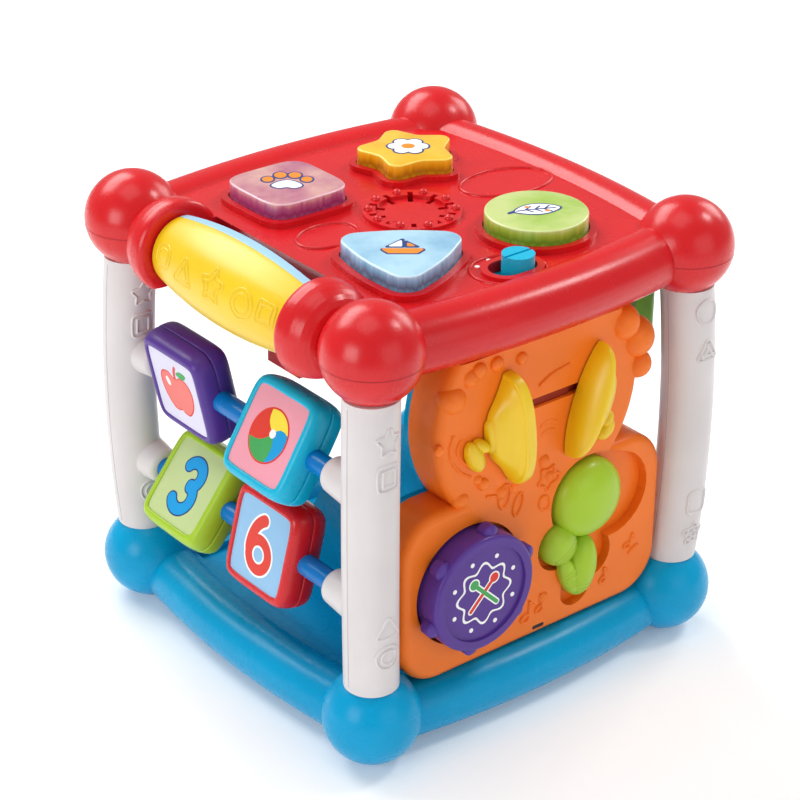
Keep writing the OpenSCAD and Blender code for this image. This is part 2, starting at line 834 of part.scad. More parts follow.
// Electronics in the top
module main_circuit_board() {
    color("darkgreen")
        translate([0, 0, board_z])
            linear_extrude(board_t)
                box_outline(wall + 0.5);
}
module key_lamps() {
    color("white")
        for (p = key_places)
            translate([p.x + lamp_offset, p.y, board_top_z]) {
                cylinder(r = lamp_r, h = lamp_r);
                translate([0, 0, lamp_r])
                    sphere(lamp_r);
            }
}
module dome(at) {
    color("lightgray")
        translate([at.x, at.y, board_top_z])
            cylinder(r1 = dome_r, r2 = stem_r, h = dome_h);
}
module square_dome() {
    dome(square_at);
}
module star_dome() {
    dome(star_at);
}
module triangle_dome() {
    dome(triangle_at);
}
module round_dome() {
    dome(round_at);
}
module speaker_frame() {
    color("dimgray")
        translate([speaker_at.x, speaker_at.y, plate_low_z])
            rotate_extrude()
                polygon([[speaker_r - 3, 0], [speaker_r, 0], [speaker_r, -2], [speaker_r - 3, -2],
                    [speaker_r / 2, 4 - speaker_h], [speaker_r / 2, -speaker_h], [0, -speaker_h],
                    [0, 2.5 - speaker_h], [speaker_r / 2 - 1.5, 2.5 - speaker_h], [speaker_r - 4.5, -2]]);
}
module speaker_cone() {
    rim_r = speaker_r - 4.1;
    color("black")
        translate([speaker_at.x, speaker_at.y, plate_low_z])
            rotate_extrude()
                polygon([[rim_r, 0], [rim_r, -0.8], [rim_r - 1.4, -0.8], [4, 5 - speaker_h],
                    [4, 2.5 - speaker_h], [0, 2.5 - speaker_h], [0, 6 - speaker_h], [4, 6 - speaker_h],
                    [rim_r - 1.4, 0]]);
}
module power_switch() {
    color("gray")
        translate([slider_at.x - slider_travel / 2, slider_at.y + switch_back, floor_z])
            linear_extrude(switch_h)
                square([16, 5], center = true);
}
switch_h = 3;
switch_back = 1.6;
runner_side = 2.6;
runner_front = 2.4;

// Keys and slider
module key(name, at) {
    translate([at.x, at.y, 0]) {
        difference() {
            union() {
                translate([0, 0, flange_z])
                    linear_extrude(key_top_z - flange_z)
                        key_outline(name, 0);
                translate([0, 0, flange_z])
                    linear_extrude(flange_t)
                        key_outline(name, body_gap + flange_w);
            }
            translate([0, 0, flange_z - 1])
                linear_extrude(key_top_z - key_wall - flange_z + 1)
                    key_outline(name, -key_wall);
        }
        translate([0, 0, stem_low_z])
            cylinder(r = stem_r, h = key_top_z - key_wall / 2 - stem_low_z);
    }
}
module square_key() {
    color("mediumpurple") key("square", square_at);
}
module star_key() {
    color("gold") key("star", star_at);
}
module triangle_key() {
    color("lightblue") key("triangle", triangle_at);
}
module round_key() {
    color("yellowgreen") key("round", round_at);
}
module power_slider() {
    runner_z = plate_low_z - body_gap - runner_t;
    color("deepskyblue")
        translate([slider_at.x, slider_at.y, 0]) {
            difference() {
                translate([0, 0, runner_z])
                    cylinder(r = slider_r, h = plate_z + slider_rise - runner_z);
                translate([-slider_r, -0.6, plate_z + slider_rise - 0.8])
                    cube([2 * slider_r, 1.2, 2]);
            }
            translate([-slider_r - runner_side, -runner_front, runner_z])
                cube([2 * (slider_r + runner_side), slider_r + runner_side + runner_front, runner_t]);
            translate([0, 0, floor_z + switch_h + body_gap])
                cylinder(r = 1.5, h = runner_z - floor_z - switch_h - body_gap);
        }
}

// Batteries
module battery_cells() {
    color("goldenrod")
        for (i = [0, 1])
            translate([cell_x, cell_y, cell_z + i * (2 * cell_r + fit_gap)])
                mirror([i, 0, 0])
                    rotate([0, 90, 0]) {
                        cylinder(r = cell_r, h = cell_len - 1.2, center = true);
                        translate([0, 0, cell_len / 2 - 0.6])
                            cylinder(r = 2.6, h = 1.2, center = true);
                    }
}
module battery_contacts() {
    color("silver")
        for (s = [-1, 1])
            for (i = [0, 1])
                translate([cell_x + s * (cell_len / 2 + cell_end_gap - contact_t), cell_y,
                    cell_z + i * (2 * cell_r + fit_gap)])
                    rotate([0, -90 * s, 0]) {
                        translate([-cell_r + 1, -cell_r + 1, -contact_t])
                            cube([2 * cell_r - 2, 2 * cell_r - 2, contact_t]);
                        cylinder(r1 = 4, r2 = 2.4, h = spring_len);
                    }
}
module battery_door() {
    color("firebrick")
        translate([battery_low.x, battery_door_y, battery_z])
            cube([battery_len, wall, box_z - battery_z]);
}

// Roller, in two half shells of different size round one axle
module roller_half(r, end_r, turn) {
    arc_r = (pow(roller_len / 2, 2) + pow(r - end_r, 2)) / (2 * (r - end_r));
    translate([roller_x, 0, top_rail_z])
        rotate([0, turn, 0])
            rotate([-90, 0, 0])
                rotate_extrude(angle = 180)
                    difference() {
                        roller_profile(r, arc_r, 0);
                        roller_profile(r - roller_wall, arc_r, roller_wall);
                        square([2 * (axle_r + fit_gap), 2 * roller_len], center = true);
                    }
}
module roller_profile(r, arc_r, inset) {
    intersection() {
        translate([r - arc_r, 0])
            circle(arc_r, $fn = 180);
        translate([0, inset - roller_len / 2])
            square([r, roller_len - 2 * inset]);
    }
}
roller_part_turn = 100;
module roller_axle() {
    color("silver")
        translate([roller_x, 0, top_rail_z])
            rotate([90, 0, 0])
                cylinder(r = axle_r, h = axle_len, center = true);
}
module roller_yellow_half() {
    color("yellow") roller_half(roller_r, roller_end_r, roller_part_turn);
}
module roller_blue_half() {
    color("lightskyblue")
        roller_half(roller_r - roller_step, roller_end_r - roller_step + 2, roller_part_turn + 180);
}

// Rods and turning blocks
module rod(z) {
    color("royalblue")
        translate([rod_x, rear_boss_y + rod_seat, z])
            rotate([90, 0, 0])
                cylinder(r = rod_r, h = front_boss_y + rear_boss_y + 2 * rod_seat);
}
module upper_rod() {
    rod(upper_rod_z);
}
module lower_rod() {
    rod(lower_rod_z);
}
module block_half(y, z, lean, facing) {
    depth = block_t / 2 - block_seam / 2;
    label_w = block_w - 2 * (block_swell + label_frame);
    label_h = block_h - 2 * (block_swell + label_frame);
    translate([rod_x, y, z])
        rotate([0, lean, 0])
            difference() {
                rotate([90, 0, -90 * facing])
                    translate([0, 0, block_seam / 2])
                        difference() {
                            block_body(depth);
                            translate([-label_w / 2, -label_h / 2, depth - label_depth])
                                cube([label_w, label_h, 2 * label_depth]);
                        }
                rotate([90, 0, 0])
                    cylinder(r = rod_r + run_gap, h = 2 * block_w, center = true);
            }
}
// A bulging outline whose sides swell from the face back to the seam
module block_body(depth) {
    intersection() {
        linear_extrude(depth)
            polygon(bulged_square(block_w / 2, block_square, 48, block_h / block_w));
        rotate([90, 0, 0])
            linear_extrude(2 * block_h, center = true)
                block_side(block_w / 2, depth);
        rotate([90, 0, 90])
            linear_extrude(2 * block_w, center = true)
                block_side(block_h / 2, depth);
    }
}
module block_side(a, depth) {
    arc_r = (pow(depth, 2) + pow(block_swell, 2)) / (2 * block_swell);
    face = a - block_swell - block_bevel;
    intersection() {
        translate([a - arc_r, 0])
            circle(arc_r, $fn = 180);
        translate([arc_r - a, 0])
            circle(arc_r, $fn = 180);
        polygon([[-face - depth, 0], [face + depth, 0], [face, depth], [-face, depth]]);
    }
}
module purple_block_front() {
    color("indigo") block_half(purple_y, upper_rod_z, purple_lean, 1);
}
module purple_block_back() {
    color("indigo") block_half(purple_y, upper_rod_z, purple_lean, -1);
}
module cyan_block_front() {
    color("deepskyblue") block_half(cyan_y, upper_rod_z, cyan_lean, 1);
}
module cyan_block_back() {
    color("deepskyblue") block_half(cyan_y, upper_rod_z, cyan_lean, -1);
}
module lime_block_front() {
    color("yellowgreen") block_half(lime_y, lower_rod_z, lime_lean, 1);
}
module lime_block_back() {
    color("yellowgreen") block_half(lime_y, lower_rod_z, lime_lean, -1);
}
module red_block_front() {
    color("red") block_half(red_y, lower_rod_z, red_lean, 1);
}
module red_block_back() {
    color("red") block_half(red_y, lower_rod_z, red_lean, -1);
}

// Instrument panel
module panel_body(inset) {
    translate([0, 0, -panel_depth])
        intersection() {
            union() {
                translate([0, lobe_z, 0])
                    round_cushion(lobe_r - inset, panel_depth - inset, panel_edge - inset / 2);
                translate([0, panel_mid_z, 0])
                    cushion(panel_w - 2 * inset, panel_h - 2 * inset, panel_corner - inset,
                        panel_depth - inset, panel_edge - inset / 2);
            }
            translate([-panel_w, 0, 0])
                cube([2 * panel_w, panel_high_z - inset, panel_depth]);
        }
}
// Outline that a disc covers as it swings about the pivot
function arc_points(centre, r, from, to, steps) =
    [for (i = [0 : steps])
        let (a = from + (to - from) * i / steps)
        centre + r * [cos(a), sin(a)]];
function swept_disc(at, r) =
    let (reach = norm(at), start = atan2(at.y, at.x), end = start - maraca_swing)
    let (last = reach * [cos(end), sin(end)])
    concat(
        arc_points([0, 0], reach + r, start, end, 8),
        arc_points(last, r, end - 12, end - 168, 12),
        arc_points([0, 0], reach - r, end, start, 8),
        arc_points(at, r, start + 168, start + 12, 12));
module maraca_sweep(g) {
    for (p = concat([[maraca_head.x, maraca_head.y, maraca_r]], lobe_places))
        if (norm([p.x, p.y]) > p.z + g + 1)
            polygon(swept_disc([p.x, p.y], p.z + g));
        else
            circle(norm([p.x, p.y]) / 2 + p.z + g);
}
module cymbal_track() {
    reach = foot_len / 2 + body_gap;
    translate([(left_cymbal_foot + right_cymbal_foot) / 2, cymbal_slot_z])
        slot_outline(right_cymbal_foot - left_cymbal_foot + 2 * reach, cymbal_slot);
}
cymbal_slot_z = cymbal_z + cymbal_slot_rise;
foot_len = 8;
foot_t = 1.5;
foot_root = 2;
foot_back = cymbal_rim + 1;
left_cymbal_foot = left_cymbal_x - foot_back;
right_cymbal_foot = right_cymbal_x + foot_back;
module music_panel() {
    color("darkorange") on_panel(0, 0)
        difference() {
            union() {
                difference() {
                    panel_body(0);
                    translate([0, 0, -0.01])
                        panel_body(wall);
                }
                translate([drum_at.x, drum_at.y, -cup_depth - floor_t])
                    cylinder(r = cup_r + cup_wall, h = cup_depth + floor_t - wall / 2);
                translate([maraca_at.x, maraca_at.y, -recess_depth - floor_t])
                    linear_extrude(recess_depth + floor_t - wall / 2)
                        maraca_sweep(maraca_gap + recess_wall);
                translate([maraca_at.x, maraca_at.y, -panel_depth])
                    cylinder(r = pivot_r + 2.5, h = panel_depth - recess_depth - 1);
                for (p = concat(lumps, dots))
                    translate([p.x, p.y, -p.z / 2])
                        sphere(p.z);
            }
            translate([drum_at.x, drum_at.y, -cup_depth])
                cylinder(r = cup_r, h = far);
            translate([drum_at.x, drum_at.y, -panel_depth])
                cylinder(r = stem_r + run_gap, h = panel_depth);
            translate([maraca_at.x, maraca_at.y, -recess_depth])
                linear_extrude(far)
                    maraca_sweep(maraca_gap);
            translate([maraca_at.x, maraca_at.y, -panel_depth - 1])
                cylinder(r = pivot_r + fit_gap / 2, h = panel_depth);
            translate([0, 0, -wall - 1])
                linear_extrude(wall + 2)
                    cymbal_track();
        }
}
module music_housing() {
    color("deepskyblue") {
        on_panel(0, 0)
            translate([0, 0, -panel_depth - wall])
                linear_extrude(wall)
                    intersection() {
                        union() {
                            translate([0, lobe_z])
                                circle(lobe_r);
                            translate([0, panel_mid_z])
                                slab_outline(panel_w, panel_h, panel_corner);
                        }
                        translate([-panel_w, 0])
                            square([2 * panel_w, panel_high_z]);
                    }
        difference() {
            housing_wedge(housing_half, 0);
            housing_wedge(housing_half - wall, wall);
        }
    }
}
module slab_outline(w, h, corner) {
    square([w - 2 * corner, h], center = true);
    square([w, h - 2 * corner], center = true);
    for (sx = [-1, 1], sy = [-1, 1])
        translate([sx * (w / 2 - corner), sy * (h / 2 - corner)])
            circle(corner);
}
module housing_wedge(half_w, inset) {
    back = panel_back_y + wall;
    root = back - (inset > 0 ? 0 : 0.01);
    translate([-half_w, 0, 0])
        rotate([90, 0, 90])
            linear_extrude(2 * half_w)
                polygon([[root, deck_z - inset], [root, housing_top - inset],
                    [back + 8 - inset, housing_top - inset], housing_knee - inset * [1, 1],
                    [housing_foot - 3 - inset, deck_z + 6 - inset / 2],
                    [housing_foot - inset, deck_z - inset]]);
}
module panel_circuit_board() {
    color("darkgreen")
        translate([drum_at.x - panel_board_half, panel_back_y - board_t, drum_at.y - panel_board_half])
            cube([2 * panel_board_half, board_t, 2 * panel_board_half]);
}
module drum_switch() {
    color("dimgray")
        on_panel(drum_at.x, drum_at.y)
            translate([0, 0, board_t - panel_depth])
                cylinder(r = stem_r, h = drum_switch_h);
}
module drum() {
    color("indigo") on_panel(drum_at.x, drum_at.y) {
        difference() {
            union() {
                translate([0, 0, drum_back - cup_depth])
                    round_cushion(drum_r, drum_rise + cup_depth - drum_back, 1.5);
                for (i = [0 : 5])
                    rotate([0, 0, 60 * i + 20])
                        translate([drum_r - lug_sink, 0, lug_low])
                            pebble(lug_r, drum_rise - lug_drop - lug_dome - lug_low, lug_dome);
            }
            translate([0, 0, drum_rise - 1])
                cylinder(r = drum_r - 4, h = far);
        }
        translate([0, 0, stem_tip])
            cylinder(r = stem_r, h = -stem_tip);
        translate([0, 0, -cup_depth - floor_t - body_gap - flange_t])
            cylinder(r = stem_r + 2, h = flange_t);
    }
}
module cymbal(x, lean, s) {
    shell_turn = s < 0 ? -90 : 90;
    on_panel(x, cymbal_z) {
        intersection() {
            rotate([0, 0, -lean])
                scale([1, 1, cymbal_depth])
                    rotate([0, shell_turn, 0])
                        rotate_extrude($fn = 48)
                            cymbal_profile();
            translate([-far / 2, -far / 2, body_gap])
                cube(far);
        }
    }
    on_panel(s < 0 ? left_cymbal_foot : right_cymbal_foot, cymbal_slot_z) {
        translate([0, 0, -wall - foot_t])
            linear_extrude(wall + foot_t + foot_root)
                slot_outline(foot_len, cymbal_slot - 2 * body_gap);
        translate([-foot_len / 2, -cymbal_slot, -wall - body_gap - foot_t])
            cube([foot_len, 2 * cymbal_slot, foot_t]);
    }
}
module cymbal_profile() {
    polygon(concat(
        [for (i = [0 : 6]) [cymbal_r * i / 6, -cymbal_bulge * (1 - pow(i / 6, 2))]],
        [for (i = [0 : 8]) [cymbal_r * (1 - i / 8),
            cymbal_rim + (cymbal_hub - cymbal_rim) * (1 - pow(1 - i / 8, bell_fullness))]]));
}
bell_fullness = 1.5;
module left_cymbal() {
    color("gold") cymbal(left_cymbal_x, left_cymbal_lean, -1);
}
module right_cymbal() {
    color("gold") cymbal(right_cymbal_x, right_cymbal_lean, 1);
}
module maraca() {
    back = body_gap - recess_depth;
    head_h = maraca_rise - back;
    lobe_h = 0.6 * maraca_rise - back;
    color("yellowgreen") on_panel(maraca_at.x, maraca_at.y)
        difference() {
            union() {
                translate([maraca_head.x, maraca_head.y, back])
                    cap_ball(maraca_r, head_h);
                for (p = lobe_places)
                    translate([p.x, p.y, back])
                        cap_ball(p.z, lobe_h);
            }
            translate([-far / 2, -far / 2, back - far])
                cube(far);
            translate([0, 0, back - 1])
                cylinder(r = pivot_r + run_gap, h = recess_depth + 2);
        }
}
// A ball that rises to h and is r wide where z = 0
module cap_ball(r, h) {
    ball = (pow(r, 2) + pow(h, 2)) / (2 * h);
    translate([0, 0, h - ball])
        sphere(ball, $fn = 64);
}
module maraca_pin() {
    color("silver") on_panel(maraca_at.x, maraca_at.y)
        translate([0, 0, -panel_depth])
            cylinder(r = pivot_r, h = panel_depth + 0.5);
}

// Green panel that hangs under the right rail
module green_panel() {
    high = top_rail_z - top_rail_r - 0.4;
    mid = (green_low + high) / 2;
    color("yellowgreen")
        translate([half + green_out - green_depth, 0, mid])
            rotate([90, 0, 90])
                difference() {
                    cushion(green_w, high - green_low, 10, green_depth, 3);
                    translate([0, 0, -0.01])
                        cushion(green_w - 2 * wall, high - green_low - 2 * wall, 10 - wall,
                            green_depth - wall, 1.5);
                }
}

base_shell();
base_plate();
base_screws();
front_left_leg();
front_right_leg();
rear_left_leg();
rear_right_leg();
top_shell();
top_cover();
top_screws();
main_circuit_board();
key_lamps();
speaker_frame();
speaker_cone();
power_switch();
square_dome();
star_dome();
triangle_dome();
round_dome();
square_key();
star_key();
triangle_key();
round_key();
power_slider();
battery_cells();
battery_contacts();
battery_door();
roller_axle();
roller_yellow_half();
roller_blue_half();
upper_rod();
lower_rod();
purple_block_front();
purple_block_back();
cyan_block_front();
cyan_block_back();
lime_block_front();
lime_block_back();
red_block_front();
red_block_back();
music_panel();
music_housing();
panel_circuit_board();
drum_switch();
drum();
left_cymbal();
right_cymbal();
maraca();
maraca_pin();
green_panel();
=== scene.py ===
"""Looks of the baby activity cube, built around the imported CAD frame."""
import json
import math

import bmesh
import bpy
from mathutils import Matrix, Vector


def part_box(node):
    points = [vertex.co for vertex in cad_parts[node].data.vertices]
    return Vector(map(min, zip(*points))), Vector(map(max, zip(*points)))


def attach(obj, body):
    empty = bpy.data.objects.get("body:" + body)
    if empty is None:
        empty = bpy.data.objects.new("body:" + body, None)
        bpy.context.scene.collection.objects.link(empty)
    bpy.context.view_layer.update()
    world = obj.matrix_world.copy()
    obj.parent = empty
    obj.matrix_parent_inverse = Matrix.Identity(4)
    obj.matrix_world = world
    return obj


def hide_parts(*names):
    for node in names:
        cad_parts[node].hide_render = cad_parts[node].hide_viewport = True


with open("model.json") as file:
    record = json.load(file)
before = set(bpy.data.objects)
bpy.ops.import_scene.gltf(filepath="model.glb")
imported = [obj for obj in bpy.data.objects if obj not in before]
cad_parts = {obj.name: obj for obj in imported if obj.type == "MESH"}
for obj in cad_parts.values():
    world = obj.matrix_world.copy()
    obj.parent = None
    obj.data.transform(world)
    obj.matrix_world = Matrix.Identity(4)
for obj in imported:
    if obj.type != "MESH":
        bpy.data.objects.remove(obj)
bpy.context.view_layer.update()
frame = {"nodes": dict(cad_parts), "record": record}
nodes = frame["nodes"]
scene = bpy.context.scene
MM = 0.001


def middle(node):
    """The middle of a CAD node's box, in millimetres."""
    low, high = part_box(node)
    return (Vector(low) + Vector(high)) / (2 * MM)


# Main sizes and places of the cube, in millimetres
CORNERS = {"front_left": (-1, -1), "rear_left": (-1, 1), "front_right": (1, -1), "rear_right": (1, 1)}
CORNER = 72.0  # a corner ball's middle from the cube's axis, along x and along y
BALL_RADIUS = 18.0
BALL_HEIGHT = 162.0  # middle of a top ball
LEG_RADIUS = 10.0
LEG_BOW = 4.5  # how far a leg stands out at half its height
LEG_MIDDLE = 90.0
LEG_HALF = 72.0  # half the height of a leg's bow
PLATE = 168.7  # upper side of the top plate
KEY_FOOT = 164.3
KEY_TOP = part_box("round_key")[1][2] / MM
SQUARE_AT, STAR_AT, TRIANGLE_AT, ROUND_AT = (-28, 35), (29, 35), (-32, -38), (27, -41)
PANEL_Y = -77.0  # front of the instrument panel
DRUM_RISE = 8.2  # drum's face over that front
CYMBAL_HEIGHT = 118.5
MARACA_AT = (20.0, 38.0)
GREEN_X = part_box("green_panel")[1][0] / MM
ROLLER_AT = middle("roller_axle")
ROLLER_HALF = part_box("roller_yellow_half")[1][1] / MM
ROLLER_RADIUS = 17.0
ROLLER_BULGE = 3.8  # how far the roller's middle stands out over its ends

# Heights of printed layers: each lies a step over the one below, each shape in it a hair over the last
LAYER_STEP = 0.03
SHAPE_STEP = 0.003
PRINT_THICK = 0.16


# Materials
def linear(rgb):
    """An sRGB colour from 0 to 255 as the linear colour that shaders take."""
    out = []
    for c in rgb:
        c /= 255.0
        out.append(c / 12.92 if c <= 0.04045 else ((c + 0.055) / 1.055) ** 2.4)
    return (*out, 1.0)


def add_node(tree, kind, values, links):
    """A new shader node with some sockets set to values and some linked to outputs of other nodes."""
    node = tree.nodes.new(kind)
    for socket, value in values.items():
        node.inputs[socket].default_value = value
    for socket, source in links.items():
        tree.links.new(source, node.inputs[socket])
    return node


def add_noise(tree, vector, scale, detail):
    """A noise texture, as its factor."""
    node = add_node(tree, "ShaderNodeTexNoise", {"Scale": scale, "Detail": detail}, {"Vector": vector})
    return node.outputs["Fac"]


def add_range(tree, value, limits):
    """A value carried from one range to another, with the limits by the names of their sockets."""
    return add_node(tree, "ShaderNodeMapRange", limits, {"Value": value}).outputs["Result"]


def add_ramp(tree, factor, stops):
    """A colour ramp over a factor, with a (place, colour) for each stop from first to last."""
    node = add_node(tree, "ShaderNodeValToRGB", {}, {"Fac": factor})
    elements = node.color_ramp.elements
    for element, (place, colour) in zip(elements, (stops[0], stops[-1])):
        element.position = place
        element.color = colour
    for place, colour in stops[1:-1]:
        elements.new(place).color = colour
    return node.outputs["Color"]


def add_mix(tree, factor):
    """A mix of two colours, to be set at the sockets MIX_A and MIX_B."""
    node = tree.nodes.new("ShaderNodeMix")
    node.data_type = "RGBA"
    tree.links.new(factor, node.inputs[0])
    return node


# Colour sockets of a mix node, by their index
MIX_A, MIX_B, MIX_RESULT = 6, 7, 2


def plastic(name, rgb, rough=0.28, vary=0.04, coat=0.04, spec=0.3, subsurface=0.0):
    """Moulded plastic: a faint cloudiness in colour and gloss over a fine orange-peel surface."""
    mat = bpy.data.materials.new(name)
    mat.use_nodes = True
    tree = mat.node_tree
    shader = tree.nodes["Principled BSDF"]
    colour = linear(rgb)
    place = tree.nodes.new("ShaderNodeTexCoord").outputs["Object"]

    darker = tuple(c * (1 - vary) for c in colour[:3]) + (1,)
    lighter = tuple(min(1, c * (1 + vary)) for c in colour[:3]) + (1,)
    cloud = add_noise(tree, place, 38.0, 3.0)
    tree.links.new(add_ramp(tree, cloud, [(0.3, darker), (0.7, lighter)]), shader.inputs["Base Color"])

    smear = add_noise(tree, place, 120.0, 4.0)
    gloss = add_range(tree, smear, {"To Min": rough - 0.05, "To Max": rough + 0.06})
    tree.links.new(gloss, shader.inputs["Roughness"])

    peel = add_noise(tree, place, 900.0, 2.0)
    bump = add_node(tree, "ShaderNodeBump", {"Strength": 0.07, "Distance": 0.6 * MM}, {"Height": peel})
    tree.links.new(bump.outputs["Normal"], shader.inputs["Normal"])

    shader.inputs["Specular IOR Level"].default_value = spec
    shader.inputs["Coat Weight"].default_value = coat
    shader.inputs["Coat Roughness"].default_value = 0.2
    if subsurface:
        shader.inputs["Subsurface Weight"].default_value = subsurface
        shader.inputs["Subsurface Radius"].default_value = (1.0, 1.0, 1.0)
        shader.inputs["Subsurface Scale"].default_value = 4 * MM
    return mat


def lit_key(name, deep, body, pale, bright, glow):
    """Frosted clear plastic lit from below: deep streaked walls, painted edge highlight, pale hazy top."""
    mat = plastic(name, body, rough=0.2, vary=0.05, coat=0.3, subsurface=0.3)
    tree = mat.node_tree
    shader = tree.nodes["Principled BSDF"]
    place = tree.nodes.new("ShaderNodeTexCoord").outputs["Object"]
    deep, body, pale, bright = linear(deep), linear(body), linear(pale), linear(bright)

    height = add_node(tree, "ShaderNodeSeparateXYZ", {}, {"Vector": place}).outputs["Z"]
    upright = add_node(tree, "ShaderNodeMapping", {"Scale": (1.0, 1.0, 0.06)}, {"Vector": place})
    streaks = add_noise(tree, upright.outputs["Vector"], 520.0, 3.0)
    stirred = tree.nodes.new("ShaderNodeMath")
    stirred.operation = "MULTIPLY_ADD"
    stirred.inputs[1].default_value = 4.2 * MM
    tree.links.new(streaks, stirred.inputs[0])
    tree.links.new(height, stirred.inputs[2])
    level = add_range(tree, stirred.outputs["Value"], {"From Min": 170.8 * MM, "From Max": 178.8 * MM})
    wall = add_ramp(tree, level, [(0.0, bright), (0.16, body), (0.42, deep), (0.74, body), (1.0, pale)])

    haze = add_noise(tree, place, 55.0, 4.0)
    top = add_ramp(tree, haze, [(0.25, body), (0.6, pale)])

    normal = tree.nodes.new("ShaderNodeNewGeometry").outputs["Normal"]
    tilt = add_node(tree, "ShaderNodeSeparateXYZ", {}, {"Vector": normal}).outputs["Z"]
    skin = add_mix(tree, add_range(tree, tilt, {"From Min": 0.72, "From Max": 0.95}))
    tree.links.new(wall, skin.inputs[MIX_A])
    tree.links.new(top, skin.inputs[MIX_B])

    # Painted highlight: where the rolled edge turns from wall to top, the colour is mixed towards the bright
    # one
    black, grey = (0, 0, 0, 1), (0.7, 0.7, 0.7, 1)
    edge = add_mix(tree, add_ramp(tree, tilt, [(0.2, black), (0.5, grey), (0.9, grey), (0.985, black)]))
    tree.links.new(skin.outputs[MIX_RESULT], edge.inputs[MIX_A])
    edge.inputs[MIX_B].default_value = bright
    tree.links.new(edge.outputs[MIX_RESULT], shader.inputs["Base Color"])
    tree.links.new(edge.outputs[MIX_RESULT], shader.inputs["Emission Color"])
    shader.inputs["Emission Strength"].default_value = glow
    return mat


def ink(name, rgb, rough=0.45):
    """A matt printed or painted surface."""
    return plastic(name, rgb, rough=rough, coat=0.0)


RED = plastic("red_plastic", (212, 22, 29), rough=0.26, spec=0.42)
BLUE = plastic("blue_plastic", (0, 156, 206), rough=0.27, coat=0.0, spec=0.2)
WHITE = plastic("white_plastic", (218, 212, 212), rough=0.36)
ORANGE = plastic("orange_plastic", (248, 122, 28), rough=0.4)
YELLOW = plastic("yellow_plastic", (238, 200, 16), rough=0.34, coat=0.1, spec=0.55)
PALE_BLUE = plastic("pale_blue_plastic", (165, 208, 236), rough=0.32)
LIME = plastic("lime_plastic", (166, 202, 48), rough=0.3)
GREEN = plastic("green_plastic", (118, 178, 60), rough=0.34)
PURPLE = plastic("purple_plastic", (84, 52, 142), rough=0.32)
CYAN = plastic("cyan_plastic", (14, 180, 216), rough=0.28)
COBALT = plastic("cobalt_plastic", (0, 116, 192), rough=0.26)
KEY_PURPLE = lit_key("key_purple", (136, 40, 94), (168, 88, 124), (208, 162, 154), (226, 190, 206), 0.14)
KEY_YELLOW = lit_key("key_yellow", (170, 112, 6), (222, 164, 20), (232, 188, 56), (248, 224, 110), 0.08)
KEY_BLUE = lit_key("key_blue", (74, 104, 132), (118, 168, 200), (172, 208, 226), (206, 232, 244), 0.14)
KEY_GREEN = lit_key("key_green", (92, 146, 30), (150, 188, 62), (196, 210, 134), (218, 232, 168), 0.07)
STEEL = plastic("steel", (170, 170, 174), rough=0.35)
BOARD = plastic("board_green", (30, 110, 60), rough=0.5)
CLEAR = plastic("lamp_clear", (230, 230, 230), rough=0.2)
DARK = plastic("dark_plastic", (34, 34, 36), rough=0.5)
RUBBER = plastic("grey_rubber", (150, 150, 150), rough=0.7)
WRAP = plastic("cell_wrap", (180, 140, 60), rough=0.4)

BY_SLOT = {
    "base_blue": BLUE, "leg_white": WHITE, "top_red": RED, "panel_orange": ORANGE, "yellow": YELLOW,
    "pale_blue": PALE_BLUE, "lime": LIME, "green": GREEN, "purple": PURPLE, "cyan": CYAN, "cobalt": COBALT,
    "key_purple": KEY_PURPLE, "key_yellow": KEY_YELLOW, "key_blue": KEY_BLUE, "key_green": KEY_GREEN,
    "steel": STEEL, "board_green": BOARD, "lamp_clear": CLEAR, "dark": DARK, "dome_rubber": RUBBER,
    "cell_wrap": WRAP,
}
for entry in frame["record"]["subparts"]:
    mesh = nodes[entry["node"]].data
    mesh.materials.clear()
    mesh.materials.append(BY_SLOT[entry["material_slot"]])

NAVY = ink("navy_print", (34, 62, 128))
PRINT_WHITE = ink("white_print", (250, 250, 248))
PRINT_ORANGE = ink("orange_print", (240, 140, 40))
PRINT_RED = ink("red_print", (224, 62, 48))
PRINT_GREEN = ink("green_print", (70, 168, 92))
PRINT_BLUE = ink("blue_print", (24, 158, 224))
PRINT_YELLOW = ink("yellow_print", (250, 226, 70))
PRINT_CORAL = ink("coral_print", (238, 120, 112))
LABEL_LILAC = ink("lilac_label", (222, 218, 238), 0.42)
LABEL_PINK = ink("pink_label", (240, 160, 178), 0.42)
LABEL_GREEN = ink("pale_green_label", (196, 214, 150), 0.42)
LABEL_BLUE = ink("light_blue_label", (146, 192, 228), 0.42)
SLOT_SHADE = ink("slot_shade", (150, 44, 20), 0.6)
SEAM_RED = ink("red_seam", (150, 12, 20), 0.5)
SEAM_WHITE = ink("white_seam", (176, 172, 172), 0.5)


# Meshes
def piece(name, verts, faces, mat, body, sharp=38.0, place=None):
    """A mesh object from points in millimetres, riding on a body."""
    mesh = bpy.data.meshes.new(name)
    place = place or Matrix.Identity(4)
    mesh.from_pydata([(place @ Vector(v)) * MM for v in verts], [], faces)
    bm = bmesh.new()
    bm.from_mesh(mesh)
    bmesh.ops.remove_doubles(bm, verts=bm.verts, dist=1e-7)
    bmesh.ops.recalc_face_normals(bm, faces=bm.faces)
    bm.to_mesh(mesh)
    bm.free()
    mesh.polygons.foreach_set("use_smooth", [True] * len(mesh.polygons))
    mesh.set_sharp_from_angle(angle=math.radians(sharp))
    mesh.materials.append(mat)
    obj = bpy.data.objects.new(name, mesh)
    scene.collection.objects.link(obj)
    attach(obj, body)
    return obj


def join(parts):
    """Several (points, faces) as one."""
    verts, faces = [], []
    for part_verts, part_faces in parts:
        faces += [[i + len(verts) for i in face] for face in part_faces]
        verts += list(part_verts)
    return verts, faces


